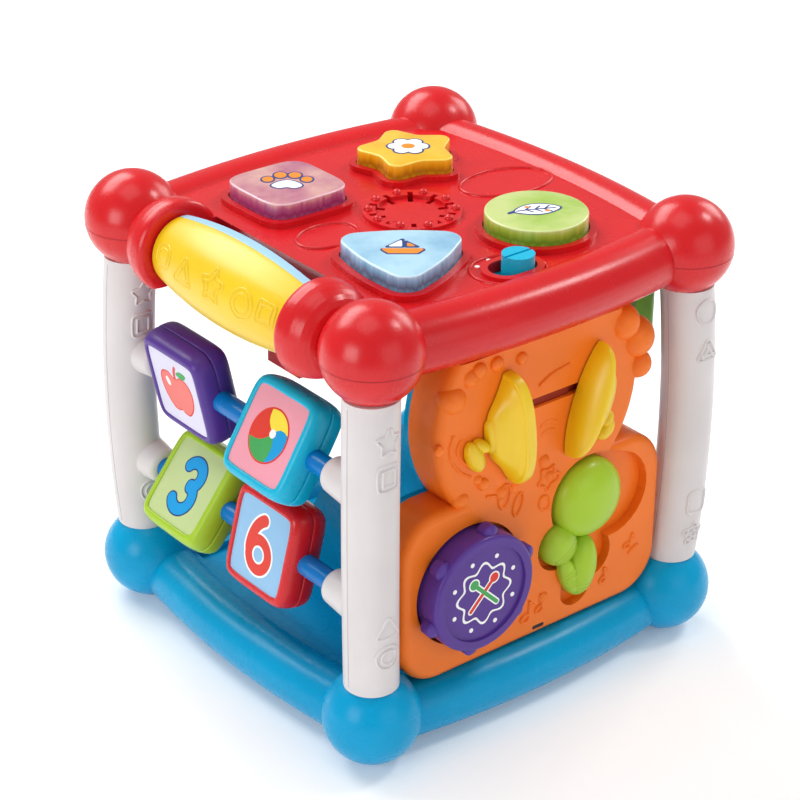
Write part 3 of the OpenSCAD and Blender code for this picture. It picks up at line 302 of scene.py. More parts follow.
def loft(rings, cap_low=True, cap_high=True, closed=True):
    """Points and faces of a skin over rings of equal length."""
    n = len(rings[0])
    verts = [p for ring in rings for p in ring]
    faces = []
    for k in range(len(rings) - 1):
        for i in range(n if closed else n - 1):
            j = (i + 1) % n
            faces.append([k * n + i, k * n + j, (k + 1) * n + j, (k + 1) * n + i])
    if cap_low:
        faces.append(list(range(n))[::-1])
    if cap_high:
        faces.append([(len(rings) - 1) * n + i for i in range(n)])
    return verts, faces


# Outlines and lines
def polar(radius, degrees):
    """A point at a distance from the origin and an angle from the x axis."""
    angle = math.radians(degrees)
    return Vector((radius * math.cos(angle), radius * math.sin(angle)))


def turned(x, y, degrees):
    """A point turned about the origin."""
    c, s = math.cos(math.radians(degrees)), math.sin(math.radians(degrees))
    return Vector((x * c - y * s, x * s + y * c))


def moved(points, x, y):
    """An outline moved across its plane."""
    return [Vector((p.x + x, p.y + y)) for p in points]


def inset(points, distance):
    """A counter-clockwise outline moved inward, or outward by a distance below zero."""
    sharpest = 0.4
    out = []
    for i, at in enumerate(points):
        before, after = points[i - 1], points[(i + 1) % len(points)]
        u, v = (at - before).normalized(), (after - at).normalized()
        n1, n2 = Vector((-u.y, u.x)), Vector((-v.y, v.x))
        out.append(at + (n1 + n2) * (distance / max(sharpest, 1 + n1.dot(n2))))
    return out


def circle(x, y, r, count=40, ry=None, turn=0.0):
    """A circle, or an ellipse where the other radius is given, as a counter-clockwise outline."""
    points = []
    for i in range(count):
        angle = 2 * math.pi * i / count
        points.append(turned(r * math.cos(angle), (ry or r) * math.sin(angle), turn))
    return moved(points, x, y)


def arc(cx, cy, r, start, end, count=20, ry=None):
    """Points along a circle or an ellipse, from one angle to another."""
    points = []
    for i in range(count + 1):
        angle = math.radians(start + (end - start) * i / count)
        points.append(Vector((cx + r * math.cos(angle), cy + (ry or r) * math.sin(angle))))
    return points


def oval(cx, cy, p, q, count=80):
    """An ellipse from its middle and two half diameters that answer to each other."""
    points = []
    for i in range(count):
        c, s = math.cos(2 * math.pi * i / count), math.sin(2 * math.pi * i / count)
        points.append(Vector((cx + p[0] * c + q[0] * s, cy + p[1] * c + q[1] * s)))
    return points


def bulged(a, b, sharpness, count=96):
    """A superellipse: a rectangle with bulging sides and round corners."""
    points = []
    for i in range(count):
        angle = 2 * math.pi * (i + 0.5) / count
        c, s = math.cos(angle), math.sin(angle)
        points.append(Vector((math.copysign(abs(c) ** (2 / sharpness) * a, c),
                              math.copysign(abs(s) ** (2 / sharpness) * b, s))))
    return points


def rounded(points, radii, steps=8):
    """A polygon with its corners turned into arcs."""
    points = [Vector(p) for p in points]
    out = []
    for i, at in enumerate(points):
        u = (points[i - 1] - at).normalized()
        v = (points[(i + 1) % len(points)] - at).normalized()
        r = radii[i] if isinstance(radii, (list, tuple)) else radii
        bend = math.acos(max(-1, min(1, u.dot(v)))) / 2
        centre = at + (u + v).normalized() * (r / math.sin(bend))
        start = at + u * (r / math.tan(bend)) - centre
        sweep = (180.0 - 2 * math.degrees(bend)) * (1 if v.x * u.y - v.y * u.x > 0 else -1)
        for k in range(steps + 1):
            out.append(centre + turned(start.x, start.y, sweep * k / steps))
    return out


def corner_ring(tip, valley, count, turn):
    """Corners round the origin, at a tip's and a valley's distance in turn."""
    step = 360.0 / count
    points = []
    for k in range(count):
        points += [polar(tip, step * k + turn), polar(valley, step * (k + 0.5) + turn)]
    return points


def star_outline(tip, valley, tip_round, valley_round, turn=0.0):
    """A star of five tips with its corners rounded."""
    return rounded(corner_ring(tip, valley, 5, turn), [tip_round, valley_round] * 5)


def burst(r, depth, bumps=8, count=160):
    """A circle with a wavy edge."""
    points = []
    for i in range(count):
        angle = 360.0 * i / count
        points.append(polar(r + depth * math.cos(math.radians(bumps * angle)), angle))
    return points


def between(p0, p1, p2, p3, t):
    """A point of the smooth curve through four points, on its way from the second to the third."""
    return 0.5 * ((2 * p1) + (p2 - p0) * t + (2 * p0 - 5 * p1 + 4 * p2 - p3) * t * t
                  + (3 * p1 - p0 - 3 * p2 + p3) * t ** 3)


def smooth_loop(points, steps=6):
    """A closed smooth curve through the given points."""
    points = [Vector(p) for p in points]
    out = []
    for i in range(len(points)):
        four = [points[(i + k) % len(points)] for k in (-1, 0, 1, 2)]
        out += [between(*four, k / steps) for k in range(steps)]
    return out


def smooth_line(points, steps=6):
    """An open smooth curve through the given points."""
    points = [Vector(p) for p in points]
    last = len(points) - 1
    out = []
    for i in range(last):
        four = [points[min(max(i + k, 0), last)] for k in (-1, 0, 1, 2)]
        out += [between(*four, k / steps) for k in range(steps)]
    return out + [points[-1]]


def stroke(path, width, caps=8):
    """The outline of a line with round ends, drawn along a path."""
    path = [Vector(p) for p in path]
    left, right = [], []
    for i, at in enumerate(path):
        along = (path[min(i + 1, len(path) - 1)] - path[max(i - 1, 0)]).normalized()
        side = Vector((-along.y, along.x)) * (width / 2)
        left.append(at + side)
        right.append(at - side)

    def cap(centre, start):
        arm = start - centre
        return [centre + turned(arm.x, arm.y, -180.0 * k / caps) for k in range(1, caps)]

    outline = left + cap(path[-1], left[-1]) + right[::-1] + cap(path[0], right[0])
    return outline[::-1]


def dense(path, closed, step=1.0):
    """The same line with points close enough to follow a round surface."""
    points = []
    ends = list(zip(path, path[1:] + path[:1])) if closed else list(zip(path, path[1:]))
    for a, b in ends:
        count = max(1, math.ceil((b - a).length / step))
        points += [a.lerp(b, k / count) for k in range(count)]
    return points if closed else points + [path[-1]]


# Prints and relief
def print_layer(name, outlines, z, mat, body, place, thick=PRINT_THICK):
    """Flat printed shapes: thin closed plates whose tops lie at z over the placed plane."""
    parts = []
    for k, outline in enumerate(outlines):
        heights = (z - thick, z + SHAPE_STEP * k)
        parts.append(loft([[(p.x, p.y, height) for p in outline] for height in heights]))
    return piece(name, *join(parts), mat, body, place=place)


# A raised line's section: shares of its width to a side and of its height
LINE_SECTION = ((-0.5, -0.35), (-0.42, 0.35), (-0.2, 0.85), (0.0, 1.0),
                (0.2, 0.85), (0.42, 0.35), (0.5, -0.35))


def relief(paths, surface, width, height, closed=True):
    """Raised rounded lines that follow a surface: surface(u, v) gives a point and its normal."""
    parts = []
    for path in paths:
        path = dense([Vector(p) for p in path], closed)
        last = len(path) - 1
        rings = []
        for i, at in enumerate(path):
            if closed:
                before, after = path[i - 1], path[(i + 1) % len(path)]
            else:
                before, after = path[max(i - 1, 0)], path[min(i + 1, last)]
            along = (after - before).normalized()
            side = Vector((-along.y, along.x))
            ring = []
            for aside, rise in LINE_SECTION:
                foot = at + side * (aside * width)
                point, normal = surface(foot.x, foot.y)
                ring.append(tuple(Vector(point) + Vector(normal) * (rise * height)))
            rings.append(ring)
        if closed:
            rings.append(rings[0])
        parts.append(loft(rings, cap_low=not closed, cap_high=not closed))
    return join(parts)


# Keys
def key_cap(key, outline, at, mat):
    """A lit key's cap: drafted walls, a rolled edge and a lightly crowned top."""
    edge, crown, draft, flat = 0.7, 0.4, 0.15, 0.42
    rings = [[(p.x, p.y, z) for p in outline] for z in (KEY_FOOT, PLATE)]
    for degrees in range(0, 91, 15):
        rolled = polar(edge, degrees)
        z = KEY_TOP - crown - edge + rolled.y
        rings.append([(p.x, p.y, z) for p in inset(outline, draft + edge - rolled.x)])
    brim = inset(outline, draft + edge)
    for share in (0.93, 0.84, 0.72, 0.58, 0.42, 0.25):
        z = KEY_TOP - crown * (max(0.0, share - flat) / (1 - flat)) ** 2
        rings.append([(p.x * share, p.y * share, z) for p in brim])
    obj = piece(key + "_cap", *loft(rings), mat, key + "_key", place=Matrix.Translation((*at, 0)))
    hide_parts(key + "_key")
    return obj


key_cap("square", bulged(17.8, 17.8, 4.5), SQUARE_AT, KEY_PURPLE)
key_cap("star", star_outline(22.4, 14.0, 4.2, 6.0), STAR_AT, KEY_YELLOW)
key_cap("triangle", rounded(corner_ring(28.0, 17.2, 3, -5), [7.0, 75.0] * 3, 10), TRIANGLE_AT, KEY_BLUE)
key_cap("round", circle(0, 0, 19, 96), ROUND_AT, KEY_GREEN)


KEY_PRINT, KEY_PRINT_THICK = 0.06, 0.2


def key_print(key, at, turn, layers):
    """Printed layers on a key: each is (suffix, material, outlines), the later ones on top."""
    place = Matrix.Translation((*at, KEY_TOP)) @ Matrix.Rotation(math.radians(turn), 4, "Z")
    for i, (suffix, mat, outlines) in enumerate(layers):
        rise, thick = KEY_PRINT + LAYER_STEP * i, KEY_PRINT_THICK + LAYER_STEP * i
        print_layer(key + "_print_" + suffix, outlines, rise, mat, key + "_key", place, thick)


def scaled(points, across, up):
    """Points drawn larger or smaller in each direction."""
    return [(x * across, y * up) for x, y in points]


OUTLINE = 0.7
PRINT_TURN, LEAF_TURN = -38, -30
TOE_LENGTH = 1.2
toes = [(-7.2, 1.6, 2.1), (-2.7, 5.6, 2.3), (2.7, 5.6, 2.3), (7.2, 1.6, 2.1)]
wide_toes = [(x, y, r + OUTLINE) for x, y, r in toes]
paw = smooth_loop([(-3.0, -6.8), (0, -6.0), (3.0, -6.8), (5.6, -4.4),
                   (3.4, -1.0), (0, 0.6), (-3.4, -1.0), (-5.6, -4.4)])
key_print("square", SQUARE_AT, PRINT_TURN, [
    ("line", NAVY, [inset(paw, -OUTLINE)] + [circle(x, y, r, 28, r * TOE_LENGTH) for x, y, r in wide_toes]),
    ("fill", PRINT_WHITE, [paw]),
    ("pads", PRINT_ORANGE, [circle(x, y, r, 28, r * TOE_LENGTH) for x, y, r in toes]),
])
petals = [polar(5.0, degrees) for degrees in range(0, 360, 60)]
key_print("star", STAR_AT, PRINT_TURN, [
    ("line", NAVY, [circle(*petal, 2.8 + OUTLINE, 30) for petal in petals] + [circle(0, 0, 5, 30)]),
    ("fill", PRINT_WHITE, [circle(*petal, 2.8, 30) for petal in petals] + [circle(0, 0, 4.6, 30)]),
    ("eye", PRINT_ORANGE, [circle(0, 0, 2.6, 30)]),
])
hull = [(-5, -5.2), (5, -5.2), (8, -1.0), (-8, -1.0)]
key_print("triangle", TRIANGLE_AT, PRINT_TURN, [
    ("line", NAVY, [moved(rounded(scaled(hull, 1.11, 1.18), 1.2), 0, 0.4),
                    rounded([(-6.9, -0.2), (0.7, -0.2), (0.7, 8.6)], 0.7),
                    rounded([(0.6, -0.2), (6.6, -0.2), (0.6, 6.8)], 0.7)]),
    ("fill", PRINT_WHITE, [rounded([(-5.4, 0.7), (-0.2, 0.7), (-0.2, 6.6)], 0.5)]),
    ("hull", PRINT_ORANGE, [rounded(hull, 0.9), rounded([(1.5, 0.7), (4.8, 0.7), (1.5, 4.6)], 0.5)]),
])
leaf = [(-8.2, -1.4), (-5, 2.6), (0, 4.5), (5.2, 3.4), (8.6, 0.4), (4.8, -3.2), (0, -4.6), (-5, -3.6)]
ribs = (-4, -0.6, 2.8)
key_print("round", ROUND_AT, LEAF_TURN, [
    ("line", NAVY, [smooth_loop(scaled(leaf, 1.1, 1.16)), stroke([(-8.4, -1.3), (-10.4, -2.4)], 1.5)]),
    ("fill", PRINT_WHITE, [smooth_loop(leaf)]),
    ("vein", NAVY, [stroke([(-7.4, -1.2), (-3, -0.4), (2, 0.0), (6.8, 0.3)], 0.8)]
     + [stroke([(x, -0.2), (x + 2.2, 2.4)], 0.7) for x in ribs]
     + [stroke([(x, -0.4), (x + 2.2, -2.6)], 0.7) for x in ribs]),
    ("dot", PRINT_ORANGE, [circle(-3.2, 2.0, 0.9, 20), circle(3.6, -1.9, 0.9, 20)]),
])


# Picture blocks on their rods

# A block half from its parting plane to the inside of its frame: (inset, depth)
BLOCK_EDGE = ((0.35, 0.1), (0.05, 0.35), (0.0, 0.9), (0.08, 2.5), (0.3, 4.0), (0.65, 5.3), (1.1, 6.2),
              (1.7, 6.95), (2.4, 7.4), (3.1, 7.58), (3.6, 7.6), (4.1, 7.5), (4.35, 7.2), (4.4, 6.8))
LABEL_INSET, LABEL_DEPTH, LABEL_THICK = 4.37, 6.95, 0.4
PICTURE_DEPTH, PICTURE_SCALE = 7.0, 1.12


def block(colour, rod, lean, mat, label_mat, layers):
    """A turning block: two pillowed halves with a raised frame round a sunk label on each face."""
    outline = bulged(19.3, 20.0, 6, 128)
    rings = [[(p.x, p.y, depth) for p in inset(outline, d)] for d, depth in BLOCK_EDGE]
    body = colour + "_block"
    at = middle(rod)
    at.y = middle(body + "_front").y
    stand = Matrix.Translation(at) @ Matrix.Rotation(math.radians(lean), 4, "Y")
    for facing, side in ((1, "front"), (-1, "back")):
        basis = Matrix(((0, 0, -facing, 0), (-facing, 0, 0, 0), (0, 1, 0, 0), (0, 0, 0, 1)))
        place = stand @ basis
        shell = piece(colour + "_shell_" + side, *loft(rings), mat, body, place=place, sharp=50)
        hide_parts(colour + "_block_" + side)
        label = [inset(outline, LABEL_INSET)]
        print_layer(colour + "_label_" + side, label, LABEL_DEPTH, label_mat, body, place, LABEL_THICK)
        for i, (suffix, layer_mat, outlines) in enumerate(layers):
            name = colour + "_print_" + side + "_" + suffix
            picture = [[p * PICTURE_SCALE for p in points] for points in outlines]
            print_layer(name, picture, PICTURE_DEPTH + LAYER_STEP * i, layer_mat, body, place)


apple = [(0, 4.6), (3.2, 6.2), (7, 5.2), (8.6, 1.4), (7.6, -3.6), (4.6, -7.6), (1.6, -8), (0, -7.2),
         (-1.6, -8), (-4.6, -7.6), (-7.6, -3.6), (-8.6, 1.4), (-7, 5.2), (-3.2, 6.2)]
block("purple", "upper_rod", -12, PURPLE, LABEL_LILAC, [
    ("edge", PRINT_RED, [smooth_loop(scaled(apple, 1.07, 1.07)),
                         stroke([(0, 5), (0.2, 7.4), (1.2, 9.8)], 1.3)]),
    ("fill", PRINT_CORAL, [smooth_loop(apple)]),
    ("leaf", PRINT_GREEN, [smooth_loop([(1.4, 7.6), (4.2, 9.4), (7.4, 8.8), (5.2, 6.6)])]),
    ("shine", PRINT_WHITE, [circle(-4.6, 2.4, 1.1, 20, 1.8, 20)]),
])

BALL_PICTURE = 8.6
POLE = Vector((1.6, 1.2))


def ball_line(tip, degrees, share, sag):
    """A point of the curved line from the ball's pole to a tip on its rim."""
    return POLE.lerp(tip, share) + polar(sag * math.sin(math.pi * share), degrees + 90)


def ball_bands(sag=1.5):
    """The coloured bands of a ball, curved, from its rim to a pole beside its middle."""
    bands = []
    for k, mat in enumerate((PRINT_YELLOW, PRINT_RED, PRINT_GREEN, PRINT_BLUE)):
        start, end = 90 * k + 20, 90 * k + 110
        rim = arc(0, 0, BALL_PICTURE, start, end, 14)
        inward = [ball_line(rim[-1], end, share, sag) for share in (0.75, 0.5, 0.25)]
        outward = [ball_line(rim[0], start, share, sag) for share in (0.25, 0.5, 0.75)]
        bands.append(("band_%d" % k, mat, [rim + inward + [POLE] + outward]))
    return bands


block("cyan", "upper_rod", 31.5, CYAN, LABEL_PINK, [
    ("edge", PRINT_RED, [circle(0, 0, 9.2, 60)]),
    ("base", PRINT_WHITE, [circle(0, 0, BALL_PICTURE, 60)]),
    *ball_bands(),
    ("cap", PRINT_WHITE, [circle(*POLE, 1.5, 24)]),
])
three = [arc(-0.2, 4.0, 4.3, 150, -72, 22), arc(-0.2, -4.0, 4.7, 74, -150, 24)]
block("lime", "lower_rod", 38, LIME, LABEL_GREEN, [
    ("edge", NAVY, [stroke(bow, 5.0) for bow in three]),
    ("fill", PRINT_BLUE, [stroke(bow, 4.0) for bow in three]),
])
six_tail = arc(3.6, -2.2, 8.9, 112, 184, 16, 11.5)
BOWL = (0, -3.6)
block("red", "lower_rod", 14.5, RED, LABEL_BLUE, [
    ("edge", PRINT_WHITE, [stroke(six_tail, 5.4), circle(*BOWL, 7.6, 60)]),
    ("fill", PRINT_RED, [stroke(six_tail, 4.0), circle(*BOWL, 6.9, 60)]),
    ("rim", PRINT_WHITE, [circle(*BOWL, 3.1, 40)]),
    ("hole", LABEL_BLUE, [circle(*BOWL, 2.4, 40)]),
])


# Instrument panel
PANEL_BASIS = Matrix(((1, 0, 0, 0), (0, 0, -1, 0), (0, 1, 0, 0), (0, 0, 0, 1)))
DOME_POWER = 0.9


def on_panel(x, z, out=0.0):
    """x across the instrument panel, y up it, z out of it."""
    return Matrix.Translation((x, PANEL_Y - out, z)) @ PANEL_BASIS


def dome(x, y, rx, ry, turn, low, wall, rise, count=64, steps=10):
    """A rounded boss on an ellipse: a short wall, then a dome."""
    rings = [[(p.x, p.y, low) for p in circle(x, y, rx, count, ry, turn)]]
    for k in range(steps):
        angle = math.radians(90 * k / steps)
        share = math.cos(angle) ** DOME_POWER
        z = low + wall + rise * math.sin(angle)
        rings.append([(p.x, p.y, z) for p in circle(x, y, rx * share, count, ry * share, turn)])
    flat = 0.3
    top = [(x + (p[0] - x) * flat, y + (p[1] - y) * flat, low + wall + rise) for p in rings[-1]]
    return loft(rings + [top])


def dome_surface(x, y, rx, ry, turn, low, wall, rise):
    """The height of such a boss over its plane, as relief() wants it."""
    def at(u, v):
        across, along = turned(u - x, v - y, -turn)
        share = min(1.0, math.hypot(across / rx, along / ry))
        height = math.sqrt(max(0.0, 1 - share ** (2 / DOME_POWER)))
        return (u, v, low + wall + rise * height), (0, 0, 1)

    return at


# Bosses of the maraca: middle, two radii, turn, foot, wall and rise of the dome
LEAVES = ((3.97, 37.8, 15.4, 15.7, 0, -3.6, 3.0, 8.8), (-9.0, 21.8, 8.0, 8.9, 34, -3.6, 2.6, 6.0),
          (-5.0, 8.0, 3.7, 9.4, 22, 0.35, 1.2, 2.9), (2.0, 9.4, 6.9, 12.8, -7, -3.6, 2.8, 6.7))


def leaf_veins(boss, spots):
    """Fine raised ribs across a boss of the maraca."""
    x, y, rx, ry, turn = boss[:5]
    sag, reach = 0.9, 0.8
    paths = []
    for spot in spots:
        half = rx * math.sqrt(1 - spot * spot) * reach
        row = [turned(half * t, spot * ry - sag * t * t, turn) for t in (k / 8 - 1 for k in range(17))]
        paths.append(moved(row, x, y))
    return relief(paths, dome_surface(*boss), width=0.55, height=0.2, closed=False)


maraca_parts = [dome(*boss) for boss in LEAVES]
for boss, spots in zip(LEAVES[1:], ((-0.5, -0.3, -0.1), (-0.5, -0.34, -0.18, -0.02, 0.14, 0.3),
                                    (-0.72, -0.6, -0.48))):
    maraca_parts.append(leaf_veins(boss, spots))
maraca_place = on_panel(*MARACA_AT)
maraca_shell = piece("maraca_shell", *join(maraca_parts), LIME, "maraca", place=maraca_place, sharp=50)
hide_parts("maraca")

# Dished face of a cymbal from its middle to its rim: (radius, depth)
CYMBAL_FACE = [(0.0, -3.9), (7.0, -3.6), (13.0, -2.7), (17.6, -1.5), (20.2, -0.5), (21.5, 0.1), (21.95, 0.6)]
CYMBAL_SEAT = 0.45
# A cymbal's round is fuller than a circle and flattened towards the panel
CYMBAL_DEPTH, UP_POWER, OUT_POWER = 0.545, 0.86, 0.66


def cymbal_shell(body, x, lean, side, bell, knobs):
    """Half of a bell-shaped cymbal standing out of the panel: dished face, rim, bell, hub and strap knob."""
    profile = []
    for stretch in [CYMBAL_FACE] + bell:
        profile += [(max(0.0, p.x), p.y) for p in smooth_line(stretch, 3)]
    steps = 48
    rings = []
    for k in range(steps + 1):
        angle = math.pi * k / steps
        up = math.copysign(abs(math.cos(angle)) ** UP_POWER, math.cos(angle))
        out = CYMBAL_DEPTH * math.sin(angle) ** OUT_POWER
        rings.append([(side * along, r * up, CYMBAL_SEAT + r * out) for r, along in profile])
    parts = [loft(rings, closed=False, cap_low=False, cap_high=False)]
    parts += [dome(*knob, CYMBAL_SEAT, 1.0, 3.4) for knob in knobs]
    place = on_panel(x, CYMBAL_HEIGHT) @ Matrix.Rotation(math.radians(-lean), 4, "Z")
    obj = piece(body + "_shell", *join(parts), YELLOW, body, place=place, sharp=60)
    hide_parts(body)
    return obj


cymbal_shell("left_cymbal", -13, -5, -1, [
    [(21.98, 1.2), (21.98, 2.6), (21.9, 3.7), (21.5, 4.25), (20.9, 4.5)],
    [(20.6, 4.5), (20.0, 4.75), (18.6, 5.6), (16.6, 6.6), (14.2, 8.0), (11.6, 9.9), (9.2, 11.5), (7.4, 12.2)],
    [(6.9, 12.3), (6.5, 12.6), (5.8, 13.3), (4.4, 13.8), (2.2, 13.95), (0.0, 14.0)]],
    [(-19.5, -5.0, 3.4, 6.6, 18), (-16.4, -1.6, 2.3, 3.6, 50)])
cymbal_shell("right_cymbal", 18.5, 19, 1, [
    [(21.95, 1.3), (21.8, 1.9), (21.2, 2.3), (20.0, 2.6), (18.6, 3.0), (17.2, 3.6)],
    [(16.4, 4.0), (15.4, 4.9), (14.6, 6.2), (13.6, 7.9), (12.2, 9.5), (10.4, 10.8), (8.6, 11.6), (7.4, 11.9)],
    [(7.0, 11.9), (6.8, 12.3), (6.2, 13.1), (4.6, 13.7), (2.2, 13.95), (0.0, 14.0)]],
    [(15.8, -11.0, 2.9, 4.7, -20), (14.6, -6.8, 2.2, 3.4, -10)])

drum_middle = middle("drum")
drum_face = on_panel(drum_middle.x, drum_middle.z, DRUM_RISE)
DRUM_PRINT = 0.10
sticks = [[(-6.0, -5.6), (4.6, 5.0)], [(6.0, -5.6), (-4.6, 5.0)]]
dots = [circle(*polar(14.6, 45 * k + 22.5), 0.9, 20) for k in range(8)]
for suffix, mat, level, outlines in (
        ("line", PRINT_WHITE, 0, [burst(11.6, 1.3)]),
        ("ground", PURPLE, 1, [burst(10.6, 1.25)]),
        ("dots", PRINT_WHITE, 0, dots),
        ("edge", PRINT_WHITE, 2, [stroke(s, 2.6) for s in sticks] + [circle(*s[1], 2.5, 24) for s in sticks]),
        ("red", PRINT_RED, 3, [stroke(sticks[0], 1.5), circle(*sticks[0][1], 1.9, 24)]),
        ("green", PRINT_GREEN, 4, [stroke(sticks[1], 1.5), circle(*sticks[1][1], 1.9, 24)])):
    print_layer("drum_print_" + suffix, outlines, DRUM_PRINT + LAYER_STEP * level, mat, "drum", drum_face)


def flat_panel(u, v):
    """The instrument panel's front, as relief() wants it."""
    return (u, PANEL_Y, v), (0, -1, 0)


def note(x, z, size, turn):
    """The lines of a raised quaver: head, stem and flag."""
    head = circle(0, 0, 2.4, 24, 1.8, 20)
    stem = [Vector(p) for p in ((2.1, 0.4), (2.2, 4), (2.3, 8))]
    flag = [Vector(p) for p in ((2.3, 8), (3.4, 6.4), (5.0, 5.2))]
    return [moved([turned(p.x * size, p.y * size, turn) for p in line], x, z) for line in (head, stem, flag)]


PANEL_LINE, PANEL_LINE_RISE, UNDER_CYMBAL_RISE = 1.2, 0.8, 0.35
marks_closed, marks_open = [], []
for x, z, size, turn in ((-4.6, 34.0, 0.85, 0), (2.2, 35.6, 0.75, 10),
                         (46.0, 46.6, 0.62, -15), (34.0, 36.0, 0.62, 10)):
    head, stem, flag = note(x, z, size, turn)
    marks_closed.append(head)
    marks_open += [stem, flag]
splash = [polar(r, degrees) for degrees, r in (
    (0, 5.2), (30, 3.4), (62, 5.0), (95, 3.5), (130, 5.3), (160, 3.3),
    (200, 5.0), (232, 3.5), (265, 5.1), (298, 3.3), (330, 4.6))]
marks_closed += [circle(-16.4, 90.1, 2.5, 32, 4.7, -10), circle(-9.8, 84.6, 2.0, 32, 4.5, -16),
                 moved(smooth_loop(splash, 4), 4.4, 90.5), circle(3.0, 80.4, 2.4, 28, 3.2, 25)]
marks_open += [smooth_line([(-40.6, 122.5), (-42.0, 118.0), (-41.0, 112.5), (-37.6, 107.4), (-32.4, 103.6)]),
               smooth_line([(-37.2, 119.6), (-38.8, 116.0), (-36.8, 111.6), (-33.6, 108.4)]),
               smooth_line([(-1.6, 129.6), (4.6, 132.6), (12.4, 133.8)]),
               smooth_line([(47.0, 42.6), (49.6, 44.6), (52.2, 45.0)]),
               arc(drum_middle.x, drum_middle.z, 34, 62, 78, 10)]
under_cymbal = [arc(3.5, 108.4, 5.6, 45, 135, 10), arc(3.5, 105.4, 5.0, 50, 130, 10)]
panel_lines = [relief(marks_closed, flat_panel, PANEL_LINE, PANEL_LINE_RISE),
               relief(marks_open, flat_panel, PANEL_LINE, PANEL_LINE_RISE, closed=False),
               relief(under_cymbal, flat_panel, PANEL_LINE, UNDER_CYMBAL_RISE, closed=False)]
piece("panel_relief", *join(panel_lines), ORANGE, "frame", sharp=60)


def flat_green(u, v):
    """The green panel's outer side, as relief() wants it."""
    return (GREEN_X, u, v), (1, 0, 0)


GREEN_MIDDLE = 129.5
green_marks = [rounded([(-52.5, 115.5), (52.5, 115.5), (52.5, 143.5), (-52.5, 143.5)], 5.0)]
for at, shape in ((-36.0, star_outline(7.4, 4.0, 0.9, 0.9, turn=90)),
                  (-12.0, circle(0, 0, 6.4, 48)),
                  (12.0, rounded([(-6.8, -5.4), (6.8, -5.4), (0, 6.6)], 1.2, 6)),
                  (36.0, bulged(6.0, 6.0, 6, 64))):
    for outline in (shape, inset(shape, 2.2)):
        green_marks.append(moved(outline, at, GREEN_MIDDLE))
green_lines = relief(green_marks, flat_green, width=1.3, height=0.7)
piece("green_relief", *green_lines, GREEN, "frame", sharp=60)

bubbles = [(-29.6, 144.2, 3.0), (-21.8, 144.4, 2.8), (-10.4, 143.0, 2.4),
           (-26.6, 98.6, 2.4), (-47.2, 118.6, 2.0)]
bubble_parts = [dome(x, z, r, r, 0, -0.4, 0.5, 0.7 * r, 32, 7) for x, z, r in bubbles]
piece("panel_bubbles", *join(bubble_parts), ORANGE, "frame", place=on_panel(0, 0), sharp=60)


def bar(left, right, low, high, corner, steps):
    """A rectangle with rounded corners, on the instrument panel."""
    return rounded([(left, low), (right, low), (right, high), (left, high)], corner, steps)


SLOT_HEIGHT = 123.0


def slot_print(name, left, right, half, depth, body):
    """A bar in the painted shade of the cymbals' slot, sunk across it."""
    outline = bar(left, right, SLOT_HEIGHT - half, SLOT_HEIGHT + half, 0.3, 3)
    print_layer(name, [outline], -depth, SLOT_SHADE, body, on_panel(0, 0), thick=0.5)


slot_print("cymbal_slot_floor", -8.0, 13.6, 2.1, 1.5, "frame")
slot_print("left_cymbal_shutter", -15.0, -7.2, 1.7, 2.4, "left_cymbal")
slot_print("right_cymbal_shutter", 12.8, 20.6, 1.7, 2.4, "right_cymbal")
# Painted shade: a flat dark bar on the panel where a narrow gap shows dark
gap_shade = bar(-0.6, 5.0, 27.4, 28.9, 0.7, 5)
print_layer("panel_drain", [gap_shade], 0.05, DARK, "frame", on_panel(0, 0), thick=0.6)

# Legs
LEG_ARC = (LEG_HALF ** 2 + LEG_BOW ** 2) / (2 * LEG_BOW)


def leg_surface(corner, facing):
    """Round a leg from the side it faces: u along the girth, v the height."""
    cx, cy = CORNERS[corner]
    outward = Vector((cx, cy, 0)).normalized()

    def at(u, v):
        bow = LEG_BOW - LEG_ARC + math.sqrt(LEG_ARC ** 2 - (v - LEG_MIDDLE) ** 2)
        centre = Vector((cx * CORNER, cy * CORNER, v)) + outward * bow
        angle = math.radians(facing) + u / LEG_RADIUS
        normal = Vector((math.cos(angle), math.sin(angle), 0))
        return centre + normal * LEG_RADIUS, normal

    return at


def leg_marks(corner, facing, flip, heights=(134.0, 121.0, 62.0, 49.5)):
    """Four outlines moulded on a leg, from the top down, the second and the fourth drawn twice."""
    shapes = [star_outline(5.6, 3.0, 0.7, 0.6, turn=90), bulged(4.4, 4.8, 5, 48),
              rounded([(-5.2, -4.2), (5.2, -4.2), (0, 5.0)], 1.0, 6), circle(0, 0, 4.8, 48)]
    if flip:
        shapes = shapes[::-1]
    paths = []
    for k, (shape, height) in enumerate(zip(shapes, heights)):
        paths.append(moved(shape, 0, height))
        if k % 2 == 1:
            paths.append(moved(inset(shape, 1.9), 0, height))
    lines = relief(paths, leg_surface(corner, facing), width=1.2, height=0.7)
    return piece(corner + "_marks", *lines, WHITE, "frame", sharp=60)


leg_marks("front_left", -90, False)
leg_marks("rear_left", -90, False)
leg_marks("front_right", -88, True, (138.6, 123.4, 59.0, 45.0))
leg_marks("rear_right", 90, True)

SEAM_LOW, SEAM_LENGTH, SEAM_STEPS = 35.0, 110.0, 40
seam_line = [Vector((0, SEAM_LOW + SEAM_LENGTH * k / SEAM_STEPS)) for k in range(SEAM_STEPS + 1)]
for corner in CORNERS:
    seams = []
    for facing in (0, 180):
        surface = leg_surface(corner, facing)
        seams.append(relief([seam_line], surface, width=0.35, height=0.1, closed=False))
    piece(corner + "_leg_seam", *join(seams), SEAM_WHITE, "frame", sharp=60)


# Top plate
def flat_top(u, v):
    """The top plate's upper side, as relief() wants it."""
    return (u, v, PLATE), (0, 0, 1)


